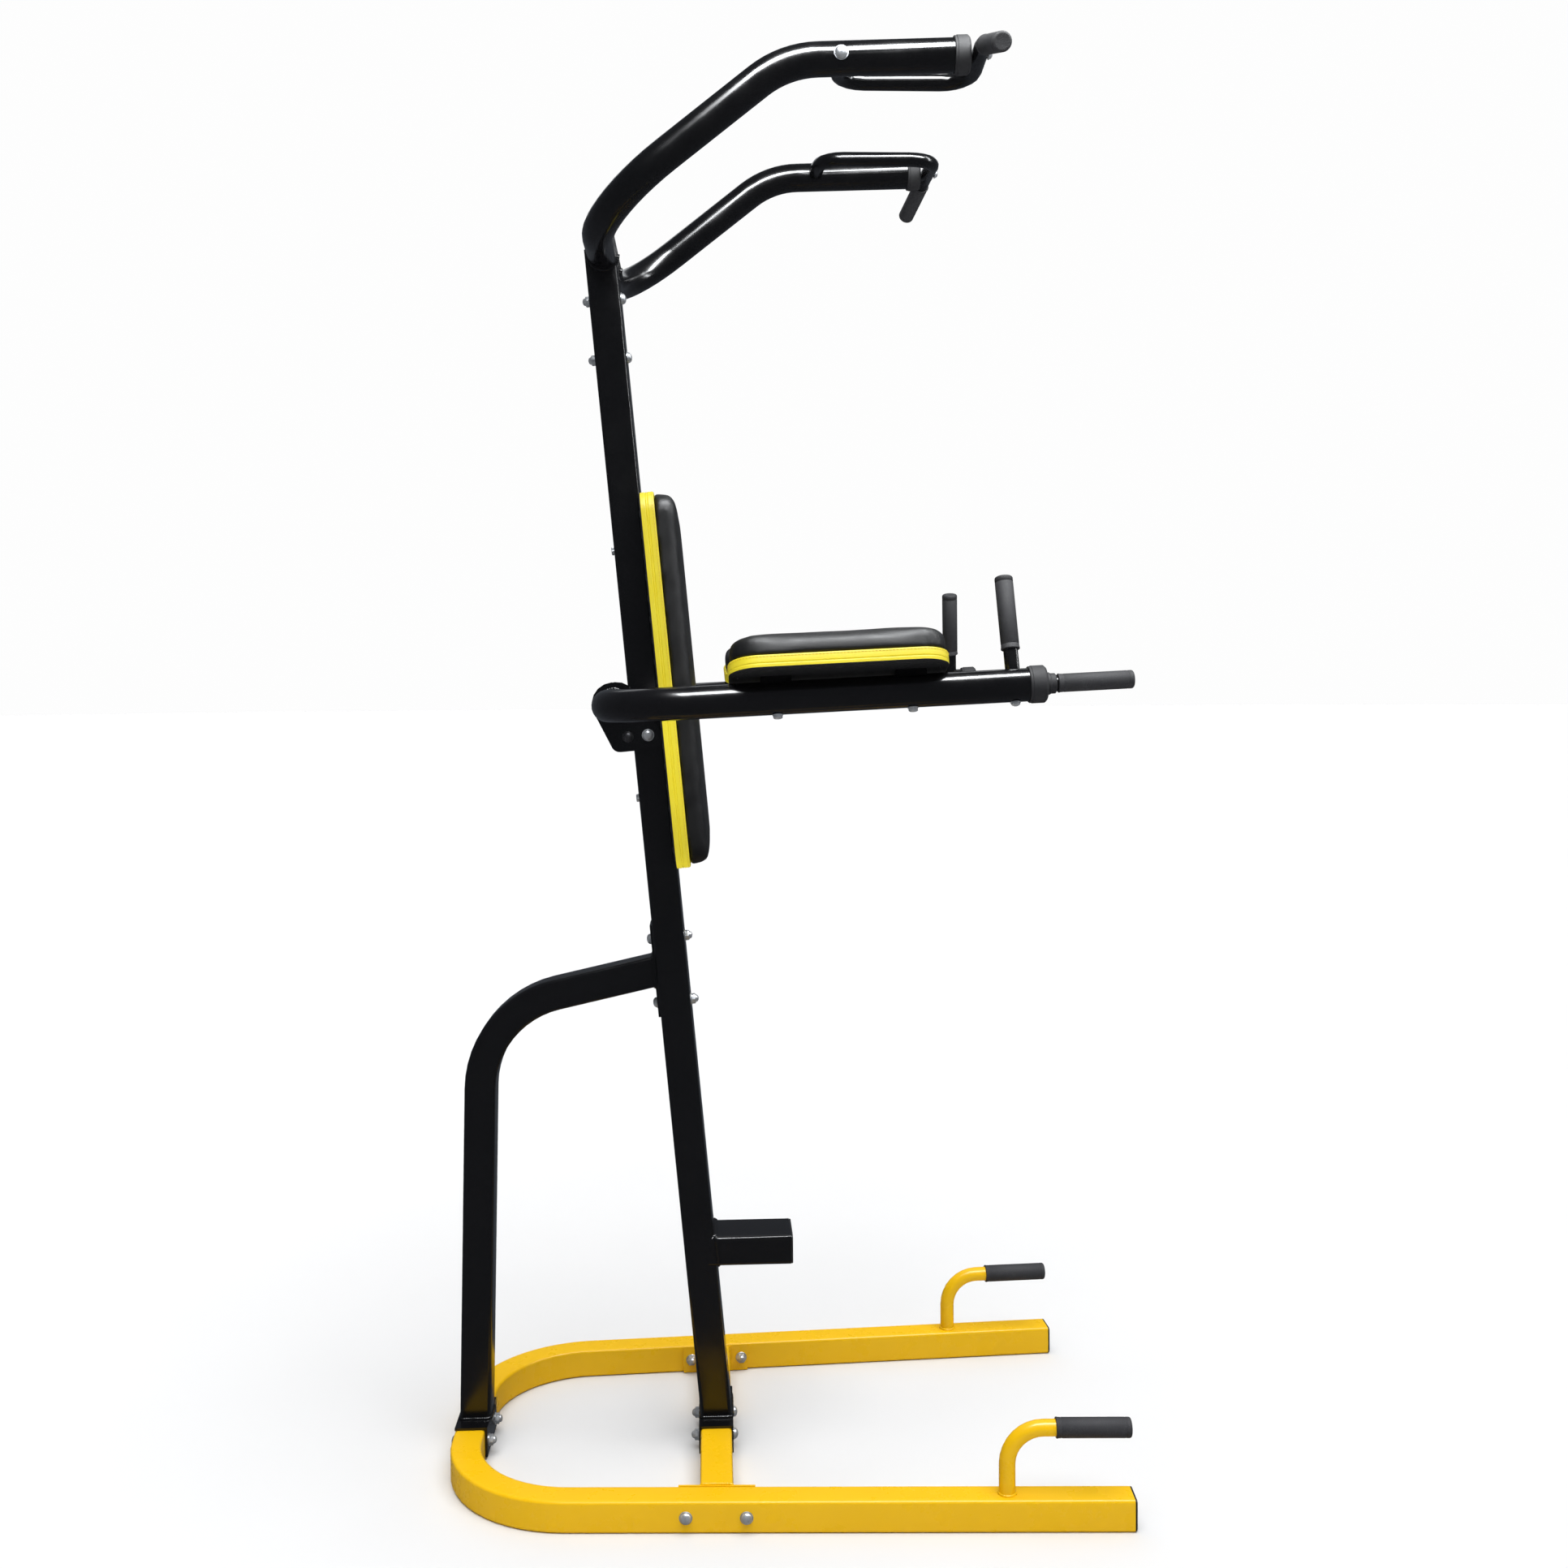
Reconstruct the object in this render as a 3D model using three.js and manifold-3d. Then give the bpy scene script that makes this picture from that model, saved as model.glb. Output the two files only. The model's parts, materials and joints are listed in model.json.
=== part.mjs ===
// Power tower: one leaning mast on a U-shaped floor frame, with a pull-up bar on top, arm rests and
// grips at elbow height, a back pad, a foot rest and two push-up handles on the floor frame.
// Units are millimetres. +X is the front of the machine, +Y its left side, +Z up.
import * as THREE from 'three';
import { mergeVertices } from 'three/addons/utils/BufferGeometryUtils.js';
import Module from 'manifold-3d';

const wasm = await Module();
wasm.setup();

// ---- driving dimensions -------------------------------------------------------------------------
const GAP = 0.3; // clearance kept between touching pieces
const ORIGIN_X = 99.3; // distance from the crossbar plane to the middle of the whole machine

const BASE_SIZE = 50; // square floor tube
const BASE_CORNER = 5;
const BASE_WALL = 2;
const RAIL_FRONT_X = 638;
const RAIL_FRONT_Y = 326; // rail centre line at its front end
const RAIL_SPLAY = 0.0557; // sideways spread per millimetre of length
const REAR_X = -412; // centre line of the rear cross part
const REAR_BEND_RADIUS = 190;

const HANDLE_X = 446; // riser of the push-up handle
const HANDLE_TOP = 152; // height of the push-up grip's axis
const HANDLE_BEND = 56;
const HANDLE_RADIUS = 12.7;
const HANDLE_END_X = 632;
const BASE_GRIP_RADIUS = 15.2;
const BASE_GRIP_LENGTH = 116;

const CROSSBAR_DEPTH = 52;
const PLATE = 4; // thickness of all welded plates
const END_PLATE_LENGTH = 120;
const END_PLATE_BOLT_X = 46.5;

const LEAN = Math.atan(0.0896); // the mast leans back by this angle
const MAST_DEPTH = 52;
const MAST_WIDTH = 90;
const MAST_CORNER = 6;
const MAST_WALL = 2.5;
const MAST_JOINT_LOW = 767; // distance along the mast to the lower butt joint
const MAST_JOINT_HIGH = 1843;
const MAST_TOP = 1972;
const SLEEVE_LENGTH = 168;
const FOOT_HALF = 76; // half length of the saddle at the mast's foot
const FOOT_BOLT_Y = 41;

const STEP_LENGTH = 128;
const STEP_WIDTH = 92;
const STEP_HEIGHT = 50;
const STEP_Z = 338.5; // height of the foot rest's axis

const POST_SIZE = 52;
const POST_CORNER = 6;
const POST_BEND = 165;
const POST_FOOT_X = -408.7; // post axis carried down to the floor
const POST_LEAN = 0.0264; // forward lean of the post
const POST_KNEE_Z = 746; // height where the axes of post and strut cross
const STRUT_RISE = 0.221;
const BACK_PLATE_LOW = 690; // stretch of the mast that the strut's end plate covers
const BACK_PLATE_HIGH = 846;
const REAR_SADDLE_HALF = 58;
const REAR_BOLT_Y = 39;

const BAR_RADIUS = 25.4; // pull-up bar and arm rest tube
const BAR_WALL = 2;
const PULL_END_X = 395;
const PULL_END_Z = 2239.6;
const PULL_END_Y = 293;
const PULL_KNEE_X = 120;
const PULL_KNEE_Y = 290.4;
const PULL_KNEE_Z = 2229.8;
const PULL_ROOT_X = -170;
const PULL_ROOT_Z = 2003;
const PULL_ROOT_Y = 288;
const PULL_KNEE_BEND = 155;
const PULL_ROOT_BEND = 140;
const CAP_RADIUS = 29;

const CURL_RADIUS = 12.7; // tube of the curved side grips
const CURL_GRIP_RADIUS = 14.4;
const CURL_GRIP_LENGTH = 104;
const CURL_BOLT_X = 203;
const CURL_BOLT_Z = 2241; // height of the bolt through the front of the curved grip
const CURL_FRONT_X = 413.6; // axis of the curved grip's front run where that bolt crosses it
const SMALL_HOLE_RADIUS = 4.6;
const CURL_CORNERS = [[207, 190, 2235], [415, 190, 2235], [413, 325, 2242]];
const CURL_TIP_X = { right: 421, left: 392 }; // the two grips are bent a little differently
const CURL_TIP = [439, 2204]; // sideways position and height of both tips
const CURL_BENDS = [44, 46, 40]; // bend radii at all corners but the last, which is the grip's tip

const ARM_X = 503; // front end of the arm rest tube
const ARM_Y = 322.5;
const ARM_RISE = 0.0419;
const ARM_Z0 = 1272.6; // height of the arm axis above the crossbar plane
const ARM_BEND = 120;
const ARM_ROOT = -52; // arm tube behind the mast, across the mast's depth
const ARM_ROOT_S = 1223; // and along the mast
const BRACKET_BOLT_S = 1166;
const BRACKET_BOLT_BACK = -33.5;
const TILT = THREE.MathUtils.degToRad(15); // inward tilt of the arm pads and upright grips

const GRIP_TUBE = 11.1;
const GRIP_RADIUS = 14;
const GRIP_LENGTH = 116;
const UPRIGHT_GRIP_X = 458;
const UPRIGHT_GRIP_TOP = 172; // distance from the arm axis to the tip of the upright grip
const UPRIGHT_ROOT = 15; // the upright tube starts here, saddled over the arm tube
const FORWARD_GRIP_TIP = 640;

const BACK_PAD_LOW = 945;
const BACK_PAD_HIGH = 1561;
const BACK_PAD_WIDTH = 260;
const BACK_BOARD = 23;
const BACK_CUSHION = 35;
const BACK_CORNER = 34; // corner radius of the back pad's outline
const CUSHION_EDGE = 14; // rounding of a cushion's front edge
const BACK_BOLTS = [1060, 1478];
const ARM_PAD_X = 195;
const ARM_PAD_LENGTH = 332;
const ARM_PAD_WIDTH = 124;
const ARM_PAD_CORNER = 47;
const ARM_BOARD = 19;
const ARM_CUSHION = 37;
const ARM_PAD_LIFT = 6.5; // gap from the arm tube to the pad board, filled by the cleats
const ARM_PAD_BOLTS = [100, 303];
const CLEAT = [46, 32, 18]; // block welded on the arm tube under each pad bolt

const BOLT_RADIUS = 5;
const HOLE_RADIUS = 5.5;

// ---- colours ------------------------------------------------------------------------------------
const finish = (color, roughness, metalness) => () => {
  return new THREE.MeshStandardMaterial({ color, roughness, metalness });
};
const yellowPaint = finish(0xf2b81c, 0.38, 0.0);
const blackPaint = finish(0x0c0c0e, 0.25, 0.0);
const blackPlastic = finish(0x17171a, 0.5, 0.0);
const gripRubber = finish(0x38383d, 0.8, 0.0);
const zinc = finish(0xb4b7b8, 0.35, 1.0);
const yellowVinyl = finish(0xf0d820, 0.5, 0.0);
const blackVinyl = finish(0x101012, 0.45, 0.0);

// ---- general helpers ----------------------------------------------------------------------------
const vec = (x, y, z) => new THREE.Vector3(x, y, z);

function toSolid(geometry, matrix = new THREE.Matrix4()) {
  const plain = geometry.clone();
  plain.deleteAttribute('normal');
  plain.deleteAttribute('uv');
  plain.applyMatrix4(matrix);
  const merged = mergeVertices(plain, 1e-3);
  const vertProperties = new Float32Array(merged.attributes.position.array);
  const triVerts = new Uint32Array(merged.index.array);
  return new wasm.Manifold(new wasm.Mesh({ numProp: 3, vertProperties, triVerts }));
}

function toGeometry(solid) {
  const mesh = solid.getMesh();
  const geometry = new THREE.BufferGeometry();
  geometry.setAttribute('position', new THREE.BufferAttribute(new Float32Array(mesh.vertProperties), 3));
  geometry.setIndex(new THREE.BufferAttribute(new Uint32Array(mesh.triVerts), 1));
  geometry.computeVertexNormals();
  return geometry;
}

const joined = (...solids) => solids.reduce((sum, solid) => sum.add(solid));
const cutBy = (solid, cutters) => cutters.reduce((rest, cutter) => rest.subtract(cutter), solid);

// Outline of a rectangle with rounded corners, u across and v up.
function roundedRect(width, height, radius, arcs = 3) {
  const points = [];
  const corners = [[1, 1, 0], [-1, 1, 90], [-1, -1, 180], [1, -1, 270]];
  for (const [sx, sy, start] of corners) {
    for (let i = 0; i <= arcs; i += 1) {
      const angle = THREE.MathUtils.degToRad(start + (90 * i) / arcs);
      const u = sx * (width / 2 - radius) + radius * Math.cos(angle);
      const v = sy * (height / 2 - radius) + radius * Math.sin(angle);
      points.push(new THREE.Vector2(u, v));
    }
  }
  return points;
}

function circle(radius, sides) {
  const points = [];
  for (let i = 0; i < sides; i += 1) {
    const angle = (2 * Math.PI * (i + 0.5)) / sides;
    points.push(new THREE.Vector2(radius * Math.cos(angle), radius * Math.sin(angle)));
  }
  return points;
}

function sectionShape(outer, inner) {
  const shape = new THREE.Shape(outer);
  if (inner) shape.holes.push(new THREE.Path(inner));
  return shape;
}

// Straight prism of a section, from the local origin along local +Z.
function prism(outer, length, inner = null) {
  return new THREE.ExtrudeGeometry(sectionShape(outer, inner), { depth: length, bevelEnabled: false });
}

// A path of straight runs joined by round bends, with stations only where the tube needs them.
class BentPath extends THREE.Curve {
  constructor(corners, radii, stepsPerBend) {
    super();
    this.stations = [];
    const last = corners.length - 1;
    const first = corners[1].clone().sub(corners[0]).normalize();
    this.stations.push({ point: corners[0].clone(), tangent: first });
    for (let i = 1; i < last; i += 1) {
      const before = corners[i].clone().sub(corners[i - 1]).normalize();
      const after = corners[i + 1].clone().sub(corners[i]).normalize();
      const turn = before.angleTo(after);
      const reach = radii[i - 1] * Math.tan(turn / 2);
      const start = corners[i].clone().addScaledVector(before, -reach);
      const axis = before.clone().cross(after).normalize();
      const inward = axis.clone().cross(before).normalize();
      const centre = start.clone().addScaledVector(inward, radii[i - 1]);
      for (let step = 0; step <= stepsPerBend[i - 1]; step += 1) {
        const angle = (turn * step) / stepsPerBend[i - 1];
        const arm = start.clone().sub(centre).applyAxisAngle(axis, angle);
        const tangent = before.clone().applyAxisAngle(axis, angle);
        this.stations.push({ point: centre.clone().add(arm), tangent });
      }
    }
    const end = corners[last].clone().sub(corners[last - 1]).normalize();
    this.stations.push({ point: corners[last].clone(), tangent: end });
  }

  get steps() {
    return this.stations.length - 1;
  }

  station(t) {
    return this.stations[Math.round(t * this.steps)];
  }

  getPoint(t) {
    return this.station(t).point.clone();
  }

  getPointAt(t) {
    return this.getPoint(t);
  }

  getTangent(t) {
    return this.station(t).tangent.clone();
  }

  getTangentAt(t) {
    return this.getTangent(t);
  }
}

function bentTube(path, outer, inner = null) {
  const settings = { steps: path.steps, bevelEnabled: false, extrudePath: path };
  return new THREE.ExtrudeGeometry(sectionShape(outer, inner), settings);
}

// Matrix that carries local +Z onto a direction and the local origin onto a point.
function along(origin, direction) {
  const turn = new THREE.Quaternion().setFromUnitVectors(vec(0, 0, 1), direction.clone().normalize());
  return new THREE.Matrix4().compose(origin, turn, vec(1, 1, 1));
}

// Solid rod between two points, used both for shafts and for drilling.
function rod(from, to, radius, sides = 8) {
  const direction = to.clone().sub(from);
  return toSolid(prism(circle(radius, sides), direction.length()), along(from, direction));
}

// Drill through a point, reaching the same distance to both sides.
const drill = (middle, reach, radius) => rod(middle.clone().sub(reach), middle.clone().add(reach), radius);

function block(width, depth, height, matrix) {
  return toSolid(new THREE.BoxGeometry(width, depth, height), matrix);
}

const place = (x, y, z) => new THREE.Matrix4().makeTranslation(x, y, z);

const machine = new THREE.Group();
machine.position.x = -ORIGIN_X;

function addPiece(parent, name, geometry, material) {
  const mesh = new THREE.Mesh(geometry, material());
  mesh.name = name;
  parent.add(mesh);
  return mesh;
}

// Body turned about local +Z from a profile of radius and height pairs, listed bottom to top.
function turned(profile, sides) {
  const points = profile.map(([radius, height]) => new THREE.Vector2(radius, height));
  return new THREE.LatheGeometry(points, sides).rotateX(Math.PI / 2);
}

// Bolt with a domed head, its shank and a closed dome nut, as one turned body. The head's underside
// is at the local origin and the shank runs along local +Z for the grip length.
function boltGeometry(grip, nut = true, radius = BOLT_RADIUS) {
  const head = radius * 1.75;
  const profile = [
    [0, -radius * 1.35],
    [head * 0.62, -radius * 1.15],
    [head, 0],
    [radius, 0],
    [radius, grip],
  ];
  if (nut) {
    profile.push([head * 0.95, grip]);
    profile.push([head * 0.95, grip + radius * 1.5]);
    profile.push([0, grip + radius * 2.3]);
  } else {
    profile.push([0, grip]);
  }
  return turned(profile, 8);
}

// Adds a bolt clamping everything between two points, both just outside the clamped faces.
function addBolt(parent, name, from, to, nut = true, radius = BOLT_RADIUS) {
  const direction = to.clone().sub(from);
  const length = direction.length();
  const mesh = addPiece(parent, name, boltGeometry(length, nut, radius), zinc);
  const outward = direction.clone().normalize();
  mesh.quaternion.setFromUnitVectors(vec(0, 0, 1), outward);
  mesh.position.copy(from);
  return mesh;
}

// Rubber sleeve with a closed, rounded tip. Local origin at the tube's tip, sleeve towards local -Z.
function gripGeometry(radius, tube, length, wall = 4) {
  const sides = 16;
  const bore = tube / Math.cos(Math.PI / sides);
  const profile = [
    [0, wall],
    [radius - 3, wall],
    [radius, wall - 3],
    [radius, wall - length + 1.5],
    [radius - 1.5, wall - length],
    [bore, wall - length],
    [bore, GAP],
    [0, GAP],
  ];
  return turned(profile.reverse(), sides);
}

function addGrip(parent, name, tip, direction, radius, bore, length) {
  const mesh = addPiece(parent, name, gripGeometry(radius, bore, length), gripRubber);
  mesh.quaternion.setFromUnitVectors(vec(0, 0, 1), direction.clone().normalize());
  mesh.position.copy(tip);
  return mesh;
}

const SIDES = [['right', -1], ['left', 1]];

// ---- floor frame --------------------------------------------------------------------------------
const railY = (x) => RAIL_FRONT_Y - RAIL_SPLAY * (RAIL_FRONT_X - x);
const railDirection = (side) => vec(1, side * RAIL_SPLAY, 0).normalize();
const baseMid = BASE_SIZE / 2;
const basePath = new BentPath(
  [
    vec(RAIL_FRONT_X, -RAIL_FRONT_Y, baseMid),
    vec(REAR_X, -railY(REAR_X), baseMid),
    vec(REAR_X, railY(REAR_X), baseMid),
    vec(RAIL_FRONT_X, RAIL_FRONT_Y, baseMid),
  ],
  [REAR_BEND_RADIUS, REAR_BEND_RADIUS],
  [14, 14],
);
const baseOuter = roundedRect(BASE_SIZE, BASE_SIZE, BASE_CORNER, 2);
const baseInnerSize = BASE_SIZE - 2 * BASE_WALL;
const baseInner = roundedRect(baseInnerSize, baseInnerSize, BASE_CORNER - BASE_WALL, 1);
let baseFrame = toSolid(bentTube(basePath, baseOuter, baseInner));

const railPoint = (side, x, z) => vec(x, side * railY(x), z);
const railOutward = (side) => vec(-side * RAIL_SPLAY, 1, 0).normalize().multiplyScalar(side);
// Sideways position of a rail's inner face where it passes a given x.
const railInner = (x) => railY(x) - baseMid / Math.cos(Math.atan(RAIL_SPLAY));

for (const [, side] of SIDES) {
  const handlePath = new BentPath(
    [
      railPoint(side, HANDLE_X, BASE_SIZE - 1.5),
      railPoint(side, HANDLE_X, HANDLE_TOP),
      railPoint(side, HANDLE_END_X, HANDLE_TOP),
    ],
    [HANDLE_BEND],
    [8],
  );
  const bent = bentTube(handlePath, circle(HANDLE_RADIUS, 16), circle(HANDLE_RADIUS - 1.5, 6));
  baseFrame = baseFrame.add(toSolid(bent));
  const across = railOutward(side);
  for (const x of [-END_PLATE_BOLT_X, END_PLATE_BOLT_X]) {
    const middle = railPoint(side, x, baseMid);
    const from = middle.clone().addScaledVector(across, -40);
    const to = middle.clone().addScaledVector(across, 40);
    baseFrame = baseFrame.subtract(rod(from, to, HOLE_RADIUS));
  }
  const rearBolt = vec(REAR_X, side * REAR_BOLT_Y, baseMid);
  baseFrame = baseFrame.subtract(drill(rearBolt, vec(40, 0, 0), HOLE_RADIUS));
}
addPiece(machine, 'base_frame', toGeometry(baseFrame), yellowPaint);

// Plastic plug for an open rectangular tube: a flange outside and an insert that runs into the tube.
function plugGeometry(width, height, wall, corner) {
  const flange = toSolid(prism(roundedRect(width - 1, height - 1, corner, 2), 3), place(0, 0, GAP));
  const insertShape = roundedRect(width - 2 * wall - 1, height - 2 * wall - 1, 3, 1);
  return toGeometry(flange.add(toSolid(prism(insertShape, 17), place(0, 0, -16))));
}

for (const [label, side] of SIDES) {
  const forward = railDirection(side);
  const end = railPoint(side, RAIL_FRONT_X, baseMid);
  const plugShape = plugGeometry(BASE_SIZE, BASE_SIZE, BASE_WALL, BASE_CORNER);
  const plug = addPiece(machine, `rail_plug_${label}`, plugShape, blackPlastic);
  const basis = new THREE.Matrix4().makeBasis(vec(-forward.y, forward.x, 0), vec(0, 0, 1), forward);
  plug.quaternion.setFromRotationMatrix(basis);
  plug.position.copy(end);
  const tip = railPoint(side, HANDLE_END_X, HANDLE_TOP);
  const name = `pushup_grip_${label}`;
  addGrip(machine, name, tip, forward, BASE_GRIP_RADIUS, HANDLE_RADIUS + GAP, BASE_GRIP_LENGTH);
}

// ---- crossbar -----------------------------------------------------------------------------------
const crossbarWall = 2;
const crossbarReach = railInner(0) - GAP - PLATE / 2;
const crossbarOuter = roundedRect(CROSSBAR_DEPTH, BASE_SIZE, BASE_CORNER, 2);
const crossbarInner = roundedRect(CROSSBAR_DEPTH - 2 * crossbarWall, baseInnerSize, 3, 1);
const crossbarTurn = new THREE.Matrix4().makeBasis(vec(1, 0, 0), vec(0, 0, 1), vec(0, -1, 0));
crossbarTurn.setPosition(0, crossbarReach, baseMid);
let crossbar = toSolid(prism(crossbarOuter, 2 * crossbarReach, crossbarInner), crossbarTurn);
for (const [, side] of SIDES) {
  const plateTurn = new THREE.Matrix4().makeRotationZ(side * Math.atan(RAIL_SPLAY));
  plateTurn.setPosition(0, side * (railInner(0) - GAP - PLATE / 2), baseMid);
  crossbar = crossbar.add(block(END_PLATE_LENGTH, PLATE, BASE_SIZE - 2, plateTurn));
  for (const x of [-END_PLATE_BOLT_X, END_PLATE_BOLT_X]) {
    const middle = railPoint(side, x, baseMid);
    const from = middle.clone().addScaledVector(railOutward(side), -40);
    crossbar = crossbar.subtract(rod(from, middle, HOLE_RADIUS));
  }
  crossbar = crossbar.subtract(drill(vec(0, side * FOOT_BOLT_Y, baseMid), vec(40, 0, 0), HOLE_RADIUS));
}
addPiece(machine, 'crossbar', toGeometry(crossbar), yellowPaint);

for (const [label, side] of SIDES) {
  const across = railOutward(side);
  for (const [end, x] of [['rear', -END_PLATE_BOLT_X], ['front', END_PLATE_BOLT_X]]) {
    const middle = railPoint(side, x, baseMid);
    const from = middle.clone().addScaledVector(across, baseMid + GAP);
    const to = middle.clone().addScaledVector(across, -(baseMid + PLATE + 3 * GAP));
    addBolt(machine, `crossbar_bolt_${label}_${end}`, from, to);
  }
}

// ---- mast ---------------------------------------------------------------------------------------
// The mast's own frame: local +Z runs up along it, local +X to the front, origin in the crossbar's top.
const mast = new THREE.Group();
mast.position.set(1, 0, BASE_SIZE);
mast.rotation.y = -LEAN;
mast.updateMatrix();
machine.add(mast);
const mastPoint = (x, y, s) => vec(x, y, s).applyMatrix4(mast.matrix);

const mastOuter = roundedRect(MAST_DEPTH, MAST_WIDTH, MAST_CORNER, 3);
const mastInnerDepth = MAST_DEPTH - 2 * MAST_WALL;
const mastInnerWidth = MAST_WIDTH - 2 * MAST_WALL;
const mastInner = roundedRect(mastInnerDepth, mastInnerWidth, MAST_CORNER - MAST_WALL, 1);
const mastTube = (from, to) => toSolid(prism(mastOuter, to - from, mastInner), place(0, 0, from));
// Drills from front to back through the mast, in the mast's own frame and in the machine's.
const drillDepth = (s) => drill(vec(0, 0, s), vec(60, 0, 0), HOLE_RADIUS);
const drillLeaning = (s) => rod(mastPoint(-60, 0, s), mastPoint(60, 0, s), HOLE_RADIUS);

const JOINT_BOLTS = {
  low: [MAST_JOINT_LOW - 57, MAST_JOINT_LOW + 52],
  high: [MAST_JOINT_HIGH - 45, MAST_JOINT_HIGH + 53],
};

// Lower mast: leaning tube, foot saddle over the crossbar and foot rest, welded into one piece.
const CHEEK = 2.5;
const CHEEK_HEIGHT = 46;
const saddleDepth = CROSSBAR_DEPTH + 2 * (GAP + CHEEK);
const saddleFloor = BASE_SIZE + GAP;
let foot = block(saddleDepth, 2 * FOOT_HALF, PLATE, place(0, 0, saddleFloor + PLATE / 2));
for (const side of [-1, 1]) {
  const lay = place((side * (saddleDepth - CHEEK)) / 2, 0, saddleFloor + PLATE - CHEEK_HEIGHT / 2);
  foot = foot.add(block(CHEEK, 2 * FOOT_HALF, CHEEK_HEIGHT, lay));
}
const stepShape = roundedRect(STEP_WIDTH, STEP_HEIGHT, 6, 3);
const stepHollow = roundedRect(STEP_WIDTH - 5, STEP_HEIGHT - 5, 3.5, 1);
const stepTurn = new THREE.Matrix4().makeBasis(vec(0, 1, 0), vec(0, 0, 1), vec(1, 0, 0));
const stepRoot = mastPoint(MAST_DEPTH / 2, 0, STEP_Z - BASE_SIZE).x;
const stepEnd = stepRoot + STEP_LENGTH;
const stepOverlap = 12; // the raw tube reaches this far into the mast before it is trimmed to it
stepTurn.setPosition(stepRoot - stepOverlap, 0, STEP_Z);
const stepTube = toSolid(prism(stepShape, STEP_LENGTH + stepOverlap, stepHollow), stepTurn);
const lowerLength = MAST_JOINT_LOW + 40;
const lowerLay = mast.matrix.clone().multiply(place(0, 0, MAST_JOINT_LOW - lowerLength));
const lowerTube = toSolid(prism(mastOuter, lowerLength, mastInner), lowerLay);
const aboveSaddle = block(400, 400, 1200, place(0, 0, saddleFloor + PLATE / 2 + 600));
const stepTrimmed = stepTube.subtract(toSolid(prism(mastOuter, lowerLength), lowerLay));
// A bead of weld metal closes the butt between the foot rest and the mast's front face.
const weldOuter = roundedRect(STEP_WIDTH - 1, STEP_HEIGHT + 3, 6, 3);
const weldInner = roundedRect(STEP_WIDTH - 9, STEP_HEIGHT - 9, 3, 1);
const weldLay = mast.matrix.clone().multiply(place(MAST_DEPTH / 2 - 1, 0, STEP_Z - BASE_SIZE + 1.5));
weldLay.multiply(new THREE.Matrix4().extractRotation(stepTurn));
const weld = toSolid(prism(weldOuter, 4, weldInner), weldLay);
let lowerMast = joined(lowerTube.intersect(aboveSaddle), foot, stepTrimmed, weld);
for (const side of [-1, 1]) {
  lowerMast = lowerMast.subtract(drill(vec(0, side * FOOT_BOLT_Y, baseMid), vec(50, 0, 0), HOLE_RADIUS));
}
lowerMast = lowerMast.subtract(drillLeaning(JOINT_BOLTS.low[0]));
addPiece(machine, 'lower_mast', toGeometry(lowerMast), blackPaint);

for (const [label, side] of SIDES) {
  const y = side * FOOT_BOLT_Y;
  const reach = saddleDepth / 2 + GAP;
  addBolt(machine, `foot_bolt_${label}`, vec(reach, y, baseMid), vec(-reach, y, baseMid));
}

// Plug in the open front end of the foot rest.
const stepPlugShape = plugGeometry(STEP_WIDTH, STEP_HEIGHT, 2.5, 6);
const stepPlug = addPiece(machine, 'foot_rest_plug', stepPlugShape, blackPlastic);
stepPlug.quaternion.setFromRotationMatrix(stepTurn);
stepPlug.position.set(stepEnd, 0, STEP_Z);

// Upper mast between the two butt joints.
let upperMast = mastTube(MAST_JOINT_LOW + GAP, MAST_JOINT_HIGH);
upperMast = cutBy(upperMast, [
  drillDepth(JOINT_BOLTS.low[1]),
  drillDepth(JOINT_BOLTS.high[0]),
  drill(vec(0, 0, BRACKET_BOLT_S), vec(0, 70, 0), HOLE_RADIUS),
  ...BACK_BOLTS.map((s) => drill(vec(0, 0, s), vec(60, 0, 0), 4.5)),
]);
addPiece(mast, 'upper_mast', toGeometry(upperMast), blackPaint);

// Inner sleeves that carry the mast across its butt joints.
for (const [label, middle] of [['low', MAST_JOINT_LOW], ['high', MAST_JOINT_HIGH]]) {
  const outer = roundedRect(mastInnerDepth - 2 * GAP, mastInnerWidth - 2 * GAP, 6, 2);
  const inner = roundedRect(mastInnerDepth - 2 * GAP - 6, mastInnerWidth - 2 * GAP - 6, 3, 1);
  let sleeve = toSolid(prism(outer, SLEEVE_LENGTH, inner), place(0, 0, middle - SLEEVE_LENGTH / 2));
  sleeve = cutBy(sleeve, JOINT_BOLTS[label].map(drillDepth));
  addPiece(mast, `mast_sleeve_${label}`, toGeometry(sleeve), blackPaint);
}

// ---- rear post ----------------------------------------------------------------------------------
// Post on the rear of the floor frame, bent forward into the strut that meets the back of the mast.
const postX = (z) => POST_FOOT_X + POST_LEAN * z;
const strutRootX = mastPoint(-MAST_DEPTH / 2 - GAP - PLATE, 0, MAST_JOINT_LOW).x + 14;
const postPath = new BentPath(
  [
    vec(postX(BASE_SIZE), 0, BASE_SIZE + 1.5),
    vec(postX(POST_KNEE_Z), 0, POST_KNEE_Z),
    vec(strutRootX, 0, POST_KNEE_Z + STRUT_RISE * (strutRootX - postX(POST_KNEE_Z))),
  ],
  [POST_BEND],
  [12],
);
const postOuter = roundedRect(POST_SIZE, POST_SIZE, POST_CORNER, 2);
const postInner = roundedRect(POST_SIZE - 5, POST_SIZE - 5, POST_CORNER - 2.5, 1);
const plateDepth = -MAST_DEPTH / 2 - GAP - PLATE / 2;
const mastSide = block(200, 400, 2000, mast.matrix.clone().multiply(place(plateDepth + 100, 0, 900)));
let rearPost = toSolid(bentTube(postPath, postOuter, postInner)).subtract(mastSide);
const plateMiddle = place(plateDepth, 0, (BACK_PLATE_LOW + BACK_PLATE_HIGH) / 2);
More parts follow.
